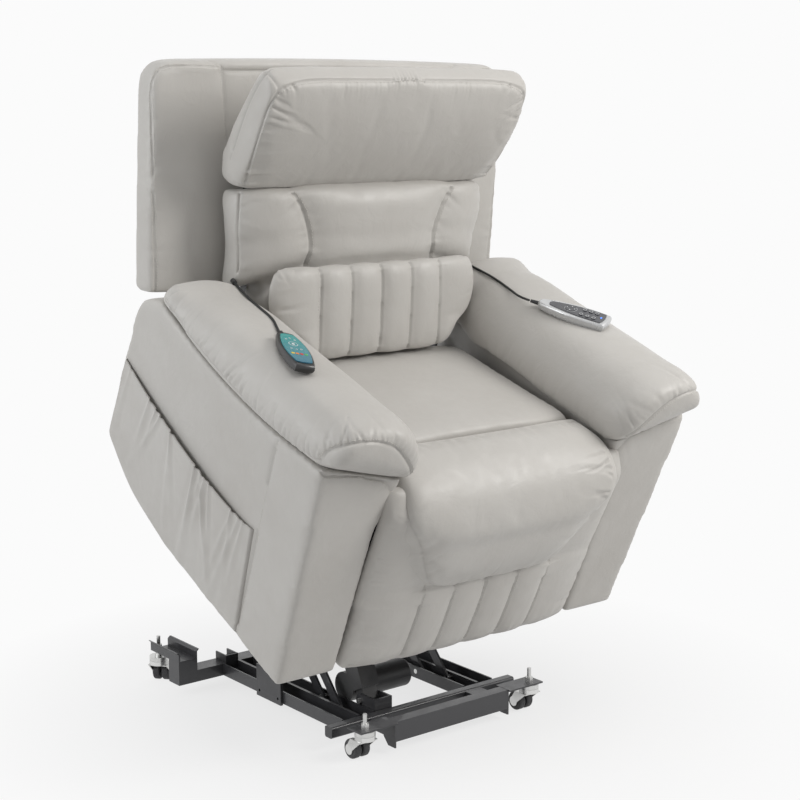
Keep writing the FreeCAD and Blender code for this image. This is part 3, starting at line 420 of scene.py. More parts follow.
@dataclass(frozen=True)
class Push:
    """A soft shove that fills out or draws in part of a form, in chair-frame millimetres.

    Args:
        centre: Where it is strongest.
        reach: How far it is felt along each axis.
        move: How far its centre goes.
    """

    centre: tuple
    reach: tuple
    move: tuple

    def on(self, side: int) -> "Push":
        """Returns the push, given for the right side, on a side."""
        centre, move = to_side((self.centre, self.move), side)
        return Push(centre, self.reach, move)

    def apply(self, surface: Surface) -> None:
        """Moves the surface's points.

        Args:
            surface: The surface that changes.
        """
        local = (chair_local(surface.points) - np.array(self.centre)) / np.array(self.reach)
        share = np.exp(-(local**2).sum(1) ** 1.5)
        surface.points += share[:, None] * chair_move(*self.move)


def both(*parts: Seam | Push) -> tuple:
    """Returns parts that are given for the right side on the left, and then on the right."""
    return tuple(part.on(side) for side in SIDES for part in parts)


@dataclass(frozen=True)
class Undercut:
    """Sets the front face back outside a hanging edge, so that the edge stands proud.

    Sizes are millimetres of the chair frame.

    Args:
        edge: Points of the edge, from its left top round to its right top.
        step: How far the face outside is set back.
        round_off: Width of the rounded edge.
        deep: How far behind the front corner points are still looked at.
        top: How high up they are still looked at.
        spent: Depth behind the front corner at which nothing moves any more.
        fading: Depth over which the move dies out before that.
    """

    edge: tuple
    step: float
    round_off: float = 11.0
    deep: float = 70.0
    top: float = 420.0
    spent: float = 60.0
    fading: float = 50.0

    def apply(self, surface: Surface) -> None:
        """Moves the surface's points.

        Args:
            surface: The surface that changes.
        """
        local = chair_local(surface.points)
        near = np.flatnonzero((local[:, 1] < self.deep) & (local[:, 2] < self.top))
        upright = np.array([1, 0, 1])
        line = smooth_line(np.array(self.edge, float) * upright, 2.0)
        place, distance, _, away = beside(local[near] * upright, line)
        way = tangents(line)[place]
        outside = way[:, 0] * away[:, 2] - way[:, 2] * away[:, 0] < 0
        share = np.clip(distance / self.round_off, 0, 1) * outside
        fade = np.clip((self.spent - local[near, 1]) / self.fading, 0, 1)
        share = share**2 * (3 - 2 * share) * fade
        surface.points[near] += share[:, None] * chair_move(0, self.step, 0)


@dataclass
class Thread:
    """Stitches of one body, collected and built as one mesh.

    Args:
        body: The body that they ride on.
        pitch: Distance between stitches.
        stations: Places along a stitch, each with the thread's radius there.
        sides: Corners of the thread's section.
        flat: The section's width over its height.
        proud: How far a stitch's middle stands off the leather.
        dip: How far its ends go down, for each metre from its middle.
        centres: The stitches' middles.
        ways: Their directions.
        outs: The leather's normals at them.
    """

    body: str
    pitch: float = 0.0052
    stations: tuple = ((-0.0019, 0.0), (-0.0014, 0.00055), (0.0014, 0.00055), (0.0019, 0.0))
    sides: int = 6
    flat: float = 1.3
    proud: float = 0.00025
    dip: float = 0.2
    centres: list = field(default_factory=list)
    ways: list = field(default_factory=list)
    outs: list = field(default_factory=list)

    def sew(self, tree: BVHTree, line: np.ndarray, offset: float) -> None:
        """Adds a row of stitches beside a line.

        Args:
            tree: The carved surface.
            line: The seam's line.
            offset: Distance of the row from the line.
        """
        marks = even(line, self.pitch)
        for mark, way in zip(marks, tangents(marks)):
            _, out, _, _ = tree.find_nearest(Vector(mark))
            across = np.cross(np.array(out), way)
            spot, out, _, _ = tree.find_nearest(Vector(mark + across * offset))
            self.centres.append(np.array(spot))
            self.ways.append(way)
            self.outs.append(np.array(out))

    def build(self, finish: bpy.types.Material) -> None:
        """Makes the mesh of all stitches, which rides on the body.

        Args:
            finish: The thread's material.
        """
        centres, ways, outs = (np.array(rows) for rows in (self.centres, self.ways, self.outs))
        ways -= outs * np.einsum("ij,ij->i", ways, outs)[:, None]
        ways /= np.linalg.norm(ways, axis=1)[:, None]
        across = np.cross(outs, ways)
        rings = []
        for along, radius in self.stations:
            for turn in np.linspace(0, 2 * math.pi, self.sides, endpoint=False):
                lift = radius * math.sin(turn) + self.proud - abs(along) * self.dip
                wide = across * radius * self.flat * math.cos(turn)
                rings.append(centres + ways * along + wide + outs * lift)
        points = np.stack(rings, 1).reshape(-1, 3)
        faces = []
        for first in range(0, (len(self.stations) - 1) * self.sides, self.sides):
            for k in range(self.sides):
                n = (k + 1) % self.sides
                faces.append((first + k, first + n, first + self.sides + n, first + self.sides + k))
        starts = np.arange(len(centres)) * len(self.stations) * self.sides
        every = (np.array(faces)[None] + starts[:, None, None]).reshape(-1, 4)
        piece = mesh_piece(f"stitches_{self.body}", points, every.tolist(), finish)
        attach(piece, self.body)


def placed(name: str, data: bpy.types.ID) -> bpy.types.Object:
    """Puts a mesh, curve, camera or light into the scene.

    Args:
        name: The object's name.
        data: What it shows.

    Returns:
        The object.
    """
    made = bpy.data.objects.new(name, data)
    bpy.context.scene.collection.objects.link(made)
    return made


def mesh_piece(
    name: str, points: np.ndarray, faces: list, finish: bpy.types.Material
) -> bpy.types.Object:
    """Makes a smooth-shaded mesh object.

    Args:
        name: The object's name.
        points: Its vertices.
        faces: Its polygons, as vertex numbers.
        finish: Its material.

    Returns:
        The object.
    """
    mesh = bpy.data.meshes.new(name)
    mesh.from_pydata(np.asarray(points).tolist(), [], faces)
    mesh.validate()
    mesh.shade_smooth()
    mesh.materials.append(finish)
    return placed(name, mesh)


def settled(thing: bpy.types.Object) -> bpy.types.Mesh:
    """Applies an object's modifiers.

    Args:
        thing: The object.

    Returns:
        Its new mesh.
    """
    graph = bpy.context.evaluated_depsgraph_get()
    mesh = bpy.data.meshes.new_from_object(thing.evaluated_get(graph))
    thing.modifiers.clear()
    thing.data = mesh
    return mesh


def feed(tree: bpy.types.NodeTree, node: bpy.types.Node, name: str | int, value: object) -> None:
    """Sets a node's input, or links it where the value is a socket.

    Args:
        tree: The tree that the node is in.
        node: The node.
        name: The input's name or number.
        value: The value, or the socket that gives it.
    """
    if isinstance(value, bpy.types.NodeSocket):
        tree.links.new(value, node.inputs[name])
    else:
        node.inputs[name].default_value = value


def worked_out(
    tree: bpy.types.NodeTree, kind: str, operation: str, *inputs: object
) -> bpy.types.Node:
    """Adds a node that does a sum.

    Args:
        tree: The tree that it goes into.
        kind: The kind of node.
        operation: The sum.
        inputs: Its values or sockets, in order.

    Returns:
        The node.
    """
    node = tree.nodes.new(kind)
    node.operation = operation
    for number, value in enumerate(inputs):
        feed(tree, node, number, value)
    return node


def rgba(colour: tuple) -> tuple:
    """Returns a colour with a full alpha."""
    return (*colour, 1)


class Ink:
    """Shader nodes of one material, put down one by one."""

    mix_share, mix_one, mix_two, mix_result = 0, 6, 7, 2

    def __init__(self, name: str) -> None:
        """Starts a material.

        Args:
            name: Its name.
        """
        self.material = bpy.data.materials.new(name)
        self.material.use_nodes = True
        self.tree = self.material.node_tree
        self.shader = self.tree.nodes["Principled BSDF"]
        self.place = self.add("ShaderNodeTexCoord").outputs["Object"]

    def add(self, kind: str, **inputs: object) -> bpy.types.Node:
        """Adds a node and sets or links its inputs.

        Args:
            kind: The kind of node.
            inputs: Its values or sockets by name, with underscores for spaces.

        Returns:
            The node.
        """
        node = self.tree.nodes.new(kind)
        self.set(node, inputs)
        return node

    def set(self, node: bpy.types.Node, inputs: dict) -> None:
        """Sets or links a node's inputs, spaces in their names as underscores."""
        for name, value in inputs.items():
            feed(self.tree, node, name.replace("_", " "), value)

    def noise(
        self, scale: float, detail: float = 3.0, rough: float = 0.55, twist: float = 0.0
    ) -> bpy.types.NodeSocket:
        """Makes a cloudy pattern.

        Args:
            scale: Its clouds in a metre.
            detail: How many finer layers it has.
            rough: How strong those are.
            twist: How far it is bent.

        Returns:
            The pattern, from 0 to 1.
        """
        sizes = {"Scale": scale, "Detail": detail, "Roughness": rough, "Distortion": twist}
        return self.add("ShaderNodeTexNoise", Vector=self.place, **sizes).outputs["Fac"]

    def ramp(
        self,
        value: bpy.types.NodeSocket,
        low: float,
        high: float,
        first: float = 0.0,
        last: float = 1.0,
    ) -> bpy.types.NodeSocket:
        """Maps a stretch of values onto another.

        Args:
            value: The values.
            low: Where the stretch starts.
            high: Where it ends.
            first: What its start becomes.
            last: What its end becomes.

        Returns:
            The mapped values.
        """
        ends = {"From_Min": low, "From_Max": high, "To_Min": first, "To_Max": last}
        return self.add("ShaderNodeMapRange", Value=value, **ends).outputs["Result"]

    def tint(
        self, share: bpy.types.NodeSocket, one: tuple | bpy.types.NodeSocket, two: tuple
    ) -> bpy.types.NodeSocket:
        """Mixes two colours.

        Args:
            share: How much of the second there is.
            one: The first colour, or a socket that gives it.
            two: The second colour.

        Returns:
            The mixed colour.
        """
        node = self.tree.nodes.new("ShaderNodeMix")
        node.data_type = "RGBA"
        feed(self.tree, node, self.mix_share, share)
        feed(self.tree, node, self.mix_one, rgba(one) if isinstance(one, tuple) else one)
        feed(self.tree, node, self.mix_two, rgba(two))
        return node.outputs[self.mix_result]

    def bump(
        self,
        height: bpy.types.NodeSocket,
        strength: float,
        depth: float,
        under: bpy.types.NodeSocket | None = None,
    ) -> bpy.types.NodeSocket:
        """Roughens the surface.

        Args:
            height: The pattern that roughens it.
            strength: How strongly it does.
            depth: The pattern's height.
            under: A normal that is rough already, or None.

        Returns:
            The new normal.
        """
        node = self.add("ShaderNodeBump", Strength=strength, Distance=depth, Height=height)
        if under is not None:
            feed(self.tree, node, "Normal", under)
        return node.outputs["Normal"]

    def edge(self, low: float, high: float, first: float, last: float) -> bpy.types.NodeSocket:
        """Maps how exposed each spot is, from deep in a fold to out on a corner.

        Args:
            low: Exposure, from 0 to 1, where the stretch starts.
            high: Exposure where it ends.
            first: What its start becomes.
            last: What its end becomes.

        Returns:
            The mapped values.
        """
        found = self.tree.nodes.new("ShaderNodeNewGeometry").outputs["Pointiness"]
        return self.ramp(found, low, high, first, last)

    def finish(self, **inputs: object) -> bpy.types.Material:
        """Sets the shader's inputs and returns the material."""
        self.set(self.shader, inputs)
        return self.material


@dataclass(frozen=True)
class Leather:
    """Soft grained leather, with painted shade at the bottom of its folds.

    Args:
        name: The material's name.
        light: Colour of its full parts.
        deep: Colour of its darker clouds of wear, and the base of the painted shade in its folds.
        painted_fold_shade: How much darker the painted shade makes the bottom of a fold.
        rub_shade: How much lighter a rubbed edge is.
    """

    name: str
    light: tuple
    deep: tuple
    painted_fold_shade: float = 0.72
    rub_shade: float = 1.12

    def material(self) -> bpy.types.Material:
        """Builds the material.

        Returns:
            The material.
        """
        ink = Ink(self.name)
        cloud = ink.ramp(ink.noise(scale=5.0, detail=4.0, rough=0.6), 0.35, 0.68)
        colour = ink.tint(cloud, self.light, self.deep)
        # Painted shade: the bottom of each fold is darkened where shade falls.
        fold = tuple(c * self.painted_fold_shade for c in self.deep)
        colour = ink.tint(ink.edge(0.44, 0.5, first=0.55, last=0.0), colour, fold)
        rubbed = tuple(min(1.0, c * self.rub_shade) for c in self.light)
        colour = ink.tint(ink.edge(0.51, 0.6, first=0.0, last=0.35), colour, rubbed)
        dents = ink.noise(scale=26.0, detail=5.0, twist=0.8)
        lines = ink.noise(scale=120.0, rough=0.6)
        pores = ink.add("ShaderNodeTexVoronoi", Vector=ink.place, Scale=520.0).outputs["Distance"]
        normal = ink.bump(dents, strength=0.32, depth=0.0035)
        normal = ink.bump(lines, strength=0.2, depth=0.0010, under=normal)
        normal = ink.bump(pores, strength=0.16, depth=0.0004, under=normal)
        rough = ink.ramp(ink.noise(scale=40.0), 0.3, 0.7, first=0.4, last=0.54)
        gloss = {"Sheen_Weight": 0.12, "Specular_IOR_Level": 0.42}
        return ink.finish(Base_Color=colour, Roughness=rough, Normal=normal, **gloss)


@dataclass(frozen=True)
class Coated:
    """Steel under powder coat or zinc, or a moulding, with painted highlights on its edges.

    Args:
        name: The material's name.
        colour: Its main colour.
        edge_highlight: Its colour at exposed edges, a painted highlight.
        rough: Its roughness.
        metal: How metallic it is, from 0 to 1.
        grain: Scale of its surface grain.
        relief: Strength of that grain.
        coat: Weight of a clear coat.
        shade: Brightness of its darker clouds.
    """

    name: str
    colour: tuple
    edge_highlight: tuple
    rough: float
    metal: float = 0.0
    grain: float = 900.0
    relief: float = 0.1
    coat: float = 0.0
    shade: float = 0.86

    def material(self) -> bpy.types.Material:
        """Builds the material.

        Returns:
            The material.
        """
        ink = Ink(self.name)
        cloud = ink.ramp(ink.noise(scale=9.0, detail=5.0), 0.35, 0.7)
        colour = ink.tint(cloud, self.colour, tuple(c * self.shade for c in self.colour))
        # Painted highlight: exposed edges are lightened where they catch the light.
        colour = ink.tint(ink.edge(0.53, 0.62, first=0.0, last=0.6), colour, self.edge_highlight)
        smears = ink.noise(scale=34.0, detail=4.0)
        rough = ink.ramp(smears, 0.3, 0.7, first=self.rough - 0.05, last=self.rough + 0.07)
        normal = ink.bump(ink.noise(self.grain, detail=2.0), self.relief, depth=0.0004)
        body = {"Metallic": self.metal, "Coat_Weight": self.coat}
        return ink.finish(Base_Color=colour, Roughness=rough, Normal=normal, **body)


@dataclass(frozen=True)
class Plywood:
    """Laid veneers, seen on the boards.

    Args:
        name: The material's name.
        pale: Colour of its early wood.
        dark: Colour of its late wood.
    """

    name: str = "plywood"
    pale: tuple = (0.42, 0.29, 0.17)
    dark: tuple = (0.28, 0.18, 0.1)

    def material(self) -> bpy.types.Material:
        """Builds the material.

        Returns:
            The material.
        """
        ink = Ink(self.name)
        sizes = {"Scale": 24.0, "Distortion": 5.0, "Detail": 3.0}
        rings = ink.add("ShaderNodeTexWave", Vector=ink.place, **sizes).outputs["Fac"]
        colour = ink.tint(rings, self.pale, self.dark)
        normal = ink.bump(ink.noise(scale=260.0, detail=4.0), strength=0.2, depth=0.0006)
        return ink.finish(Base_Color=colour, Roughness=0.62, Normal=normal)


@dataclass(frozen=True)
class PrintedFace:
    """A glossy panel whose colour runs from one tone to another along the part.

    Args:
        name: The material's name.
        near: Colour at its start.
        far: Colour at its end.
        start: Chair-frame point where the colour starts to turn.
        end: Chair-frame point where it has turned.
        specks: Colour of its faint specks.
    """

    name: str
    near: tuple
    far: tuple
    start: tuple
    end: tuple
    specks: tuple = (0.02, 0.05, 0.06)

    def material(self) -> bpy.types.Material:
        """Builds the material.

        Returns:
            The material.
        """
        ink = Ink(self.name)
        a, b = chair(*self.start), chair(*self.end)
        way = (b - a) / np.dot(b - a, b - a)
        along = worked_out(ink.tree, "ShaderNodeVectorMath", "DOT_PRODUCT", ink.place, way)
        start = float(np.dot(a, way))
        share = ink.ramp(along.outputs["Value"], start, start + 1)
        colour = ink.tint(share, self.near, self.far)
        cloud = ink.ramp(ink.noise(scale=60.0), 0.3, 0.8, first=0.0, last=0.12)
        colour = ink.tint(cloud, colour, self.specks)
        normal = ink.bump(ink.noise(scale=700.0, detail=2.0), strength=0.04, depth=0.0002)
        return ink.finish(Base_Color=colour, Roughness=0.24, Normal=normal, Coat_Weight=0.5)


class Slot(Enum):
    """The finishes that the record names."""

    COVER = "cover"
    FRAME = "frame_black"
    ZINC = "zinc"
    TYRE = "caster_tyre"
    MOTOR = "motor_case"
    BOARD = "plywood"
    SILVER = "control_silver"
    DARK = "control_dark"
    REMOTE = "remote_black"
    TEAL = "remote_teal"
    CORD = "cord_black"


# The edge colours of the coated finishes below are painted highlights.
FINISHES = {
    Slot.COVER: Leather("pale_leather", light=(0.50, 0.484, 0.458), deep=(0.468, 0.45, 0.423)),
    Slot.FRAME: Coated(
        "black_powder_coat", (0.016, 0.016, 0.018), edge_highlight=(0.07, 0.07, 0.075),
        rough=0.38, metal=0.2, grain=1400.0, relief=0.25, coat=0.25,
    ),
    Slot.ZINC: Coated(
        "zinc_plate", (0.62, 0.62, 0.61), edge_highlight=(0.8, 0.8, 0.79),
        rough=0.3, metal=0.95, grain=700.0, relief=0.08,
    ),
    Slot.TYRE: Coated(
        "grey_tyre", (0.035, 0.035, 0.037), edge_highlight=(0.08, 0.08, 0.08),
        rough=0.55, grain=1100.0, relief=0.2,
    ),
    Slot.MOTOR: Coated(
        "motor_moulding", (0.024, 0.024, 0.026), edge_highlight=(0.09, 0.09, 0.09),
        rough=0.45, grain=1200.0, relief=0.25,
    ),
    Slot.BOARD: Plywood(),
    Slot.SILVER: Coated(
        "silver_moulding", (0.58, 0.585, 0.59), edge_highlight=(0.8, 0.8, 0.8),
        rough=0.28, metal=0.55, relief=0.05, coat=0.3,
    ),
    Slot.DARK: Coated(
        "dark_control", (0.018, 0.02, 0.024), edge_highlight=(0.08, 0.08, 0.09),
        rough=0.3, grain=1000.0, relief=0.08, coat=0.3,
    ),
    Slot.REMOTE: Coated(
        "remote_moulding", (0.012, 0.012, 0.013), edge_highlight=(0.07, 0.07, 0.07),
        rough=0.35, grain=1000.0, relief=0.1, coat=0.2,
    ),
    Slot.TEAL: PrintedFace(
        "remote_print", near=(0.02, 0.16, 0.26), far=(0.015, 0.33, 0.30),
        start=(-385.0, 195.0, 540.0), end=(-350.0, 315.0, 530.0),
    ),
    Slot.CORD: Coated(
        "cord_sheath", (0.014, 0.014, 0.015), edge_highlight=(0.06, 0.06, 0.06),
        rough=0.5, grain=800.0, relief=0.15,
    ),
}
# Their edge colours are painted highlights too.
THREAD = Coated(
    "thread", (0.46, 0.44, 0.41), edge_highlight=(0.6, 0.58, 0.54), rough=0.6, grain=1500.0, relief=0.3,
)
PALE_MARK = Coated("pale_mark", (0.72, 0.74, 0.75), edge_highlight=(0.8, 0.8, 0.8), rough=0.4, relief=0.05)


class Palette:
    """Every finish of the chair, made once and shared."""

    def __init__(self) -> None:
        """Makes the finishes."""
        self.made = {slot: kind.material() for slot, kind in FINISHES.items()}
        self.thread = THREAD.material()
        self.mark = PALE_MARK.material()

    def __getitem__(self, slot: Slot) -> bpy.types.Material:
        """Returns the material of a slot."""
        return self.made[slot]

    def dress(self) -> int:
        """Gives every carried-over piece the finish that its record names.

        Returns:
            The number of pieces dressed.
        """
        slots = {row["node"]: row["material_slot"] for row in frame["record"]["subparts"]}
        for name, node in frame["nodes"].items():
            node.data.materials.clear()
            node.data.materials.append(self.made[Slot(slots[name])])
        return len(frame["nodes"])


class Feel(Enum):
    """How a padded piece behaves: full and sprung, or stretched over a board."""

    PILLOW = 0.7
    PAD = 0.75
    PANEL = 0.9


@dataclass
class Upholstery:
    """One padded piece with its seams.

    Args:
        node: The modelled piece that it stands for.
        body: The body that it rides on.
        feel: How full it is; not used.
        seams: Its sewn lines.
        pushes: Shoves that fill out its form.
        voxel: Size of its mesh squares.
        soften: Rounds of smoothing before it is sewn.
        swell: How far its cover may move under pressure, or 0 for none.
        slack: How much longer the cover is cut than the form.
        seed: Number that its folds are drawn from.
    """

    node: str
    body: str
    feel: Feel
    seams: tuple
    pushes: tuple
    voxel: float
    soften: int
    swell: float = 0.0
    slack: float = 0.0
    seed: int = 1

    def build(self, palette: Palette, thread: Thread) -> bpy.types.Object:
        """Makes the piece and sews its seams.

        Args:
            palette: The finishes.
            thread: Collects the stitches.

        Returns:
            The piece.
        """
        piece = placed(f"{self.node}_cover", self.form())
        grid = piece.modifiers.new("grid", "REMESH")
        grid.mode = "VOXEL"
        grid.voxel_size = self.voxel
        surface = Surface(settled(piece))
        for push in self.pushes:
            push.apply(surface)
        surface.relax(self.soften)
        surface.write()
        if self.swell:
            self.inflate(piece, surface)
        finer = piece.modifiers.new("finer", "SUBSURF")
        finer.levels = 1
        surface = Surface(settled(piece))
        self.sew(surface, thread)
        mesh = piece.data
        mesh.materials.clear()
        mesh.materials.append(palette[Slot.COVER])
        mesh.shade_smooth()
        self.attach(piece)
        log.info("%s: %d faces, %d seams", piece.name, len(mesh.polygons), len(self.seams))
        return piece

    def form(self) -> bpy.types.Mesh:
        """Returns the closed form that the cover starts from."""
        return frame["nodes"][self.node].data.copy()

    def attach(self, piece: bpy.types.Object) -> None:
        """Stands the piece for its modelled solid and sets it on its body."""
        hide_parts(self.node)
        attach(piece, self.body)

    def held(self, surface: Surface) -> np.ndarray:
        """Works out how firmly the seams hold each point.

        Args:
            surface: The surface that they are sewn into.

        Returns:
            A share for each point, from 0 to 1.
        """
        held_beside = 0.012
        tree = surface.tree()
        hold = np.zeros(len(surface.points))
        for seam in self.seams:
            _, distance, _, _ = beside(surface.points, seam.laid(tree))
            hold = np.maximum(hold, np.exp(-((distance / held_beside) ** 2)))
        return hold

    def blow(self, piece: bpy.types.Object, hold: np.ndarray) -> Surface:
        """Runs the cloth under pressure.

        Args:
            piece: The object whose mesh is blown up.
            hold: How firmly each of its points is held.

        Returns:
            The blown points.
        """
        frames, least_hold = 20, 0.02
        group = piece.vertex_groups.new(name="held")
        for number in np.flatnonzero(hold > least_hold):
            group.add([int(number)], float(hold[number]), "REPLACE")
        cloth = piece.modifiers.new("cloth", "CLOTH")
        settings = cloth.settings
        settings.quality = 4
        settings.mass = 0.02
        settings.use_pressure = True
        settings.uniform_pressure_force = 4.0
        settings.vertex_group_mass = "held"
        settings.shrink_min = -self.slack
        settings.bending_stiffness = 0.8
        settings.air_damping = 2.0
        settings.effector_weights.gravity = 0.0
        cloth.collision_settings.use_collision = False
        cloth.point_cache.frame_start, cloth.point_cache.frame_end = 1, frames
        for number in range(1, frames + 1):
            bpy.context.scene.frame_set(number)
        blown = Surface(settled(piece))
        piece.vertex_groups.clear()
        return blown

    def inflate(self, piece: bpy.types.Object, surface: Surface) -> None:
        """Blows the cover up like a filled cushion, held along its seams.

        Args:
            piece: The object whose mesh is blown up.
            surface: Its points.
        """
        start_below, seam_share, smoothing = 0.3, 0.9, 6
        hold = self.held(surface)
        start = surface.points.copy()
        surface.points -= surface.normals() * (start_below * self.swell * (1 - hold))[:, None]
        surface.write()
        blown = self.blow(piece, hold)
        move = blown.points - start
        length = np.linalg.norm(move, axis=1)
        cap = self.swell * (1 - seam_share * hold)
        share = cap * np.tanh(length / np.maximum(cap, SMALL)) / np.maximum(length, TINY)
        most, kept = length.max() * 1000, (share * length).max() * 1000
        log.info("%s moved %.1f mm at most, %.1f mm kept", self.node, most, kept)
        blown.points = start + move * share[:, None]
        blown.relax(smoothing)
        blown.write()
        bpy.context.scene.frame_set(1)

    def sew(self, surface: Surface, thread: Thread) -> None:
        """Carves the seams and sets their stitches.

        Args:
            surface: The surface that they are sewn into.
            thread: Collects the stitches.
        """
        tree = surface.tree()
        lines = [seam.laid(tree) for seam in self.seams]
        for number, (seam, line) in enumerate(zip(self.seams, lines)):
            seam.carve(surface, line, self.seed * 100 + number)
        surface.relax(1, 0.3)
        surface.write()
        if any(seam.stitch for seam in self.seams):
            tree = surface.tree()
            for seam, line in zip(self.seams, lines):
                for offset in seam.stitch:
                    thread.sew(tree, line, offset / 1000)


@dataclass
class Skirt(Upholstery):
    """Cover of the footrest, with the strips beside the apron that join it to the seat's front.

    Args:
        inner: Heights down the right strip, each with its inner edge's place across.
        outer: The strip's outer edge.
        columns: Points across it.
        front: How far its inner part stands forward.
        sweep: How far its outer edge falls back from there.
        tuck: How far its top row is tucked back, and from which height.
        thick: Its thickness.
    """

    inner: tuple = (
        (392, 222), (356, 206), (318, 188), (275, 168),
        (235, 140), (206, 110), (180, 80), (150, 70),
    )
    outer: float = 284
    columns: int = 9
    front: float = -15
    sweep: float = 20
    tuck: tuple = (30, 380)
    thick: float = 26

    def form(self) -> bpy.types.Mesh:
        """Joins both strips to the footrest's form.

        Returns:
            The form, as overlapping closed shapes.
        """
        joined = bmesh.new()
        joined.from_mesh(frame["nodes"][self.node].data)
        for side in SIDES:
            self.strip(joined, side)
        mesh = bpy.data.meshes.new(self.node)
        joined.to_mesh(mesh)
        joined.free()
        return mesh

    def strip(self, joined: bmesh.types.BMesh, side: int) -> None:
        """Adds one strip as a closed slab.

        Args:
            joined: The mesh that it is added to.
            side: -1 for the left strip, 1 for the right.
        """
        rows = []
        tuck, tucked_over = self.tuck
        for up, inner in self.inner:
            fall = tuck if up > tucked_over else 0
            row = []
            for t in np.linspace(0, 1, self.columns):
                x = side * (inner + (self.outer - inner) * t)
                row.append(chair(x, self.front + self.sweep * t**5 + fall, up))
            rows.append(row)
        face = np.array(rows)
        sheets = (face, face + chair_move(0, self.thick, 0))
        grids = [[[joined.verts.new(point) for point in row] for row in sheet] for sheet in sheets]
        for sheet in grids:
            for upper, lower in zip(sheet[:-1], sheet[1:]):
                for k in range(self.columns - 1):
                    joined.faces.new((upper[k], upper[k + 1], lower[k + 1], lower[k]))
        rims = []
        for sheet in grids:
            down_outer = [row[-1] for row in sheet[1:]]
            up_inner = [row[0] for row in reversed(sheet[1:-1])]
            rims.append(list(sheet[0]) + down_outer + list(reversed(sheet[-1][:-1])) + up_inner)
        for k in range(len(rims[0])):
            n = (k + 1) % len(rims[0])
            joined.faces.new((rims[0][k], rims[0][n], rims[1][n], rims[1][k]))
        bmesh.ops.recalc_face_normals(joined, faces=joined.faces)

    def attach(self, piece: bpy.types.Object) -> None:
        """Stands the piece for its modelled solid and leaves it on no body."""
        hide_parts(self.node)
        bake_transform(piece)


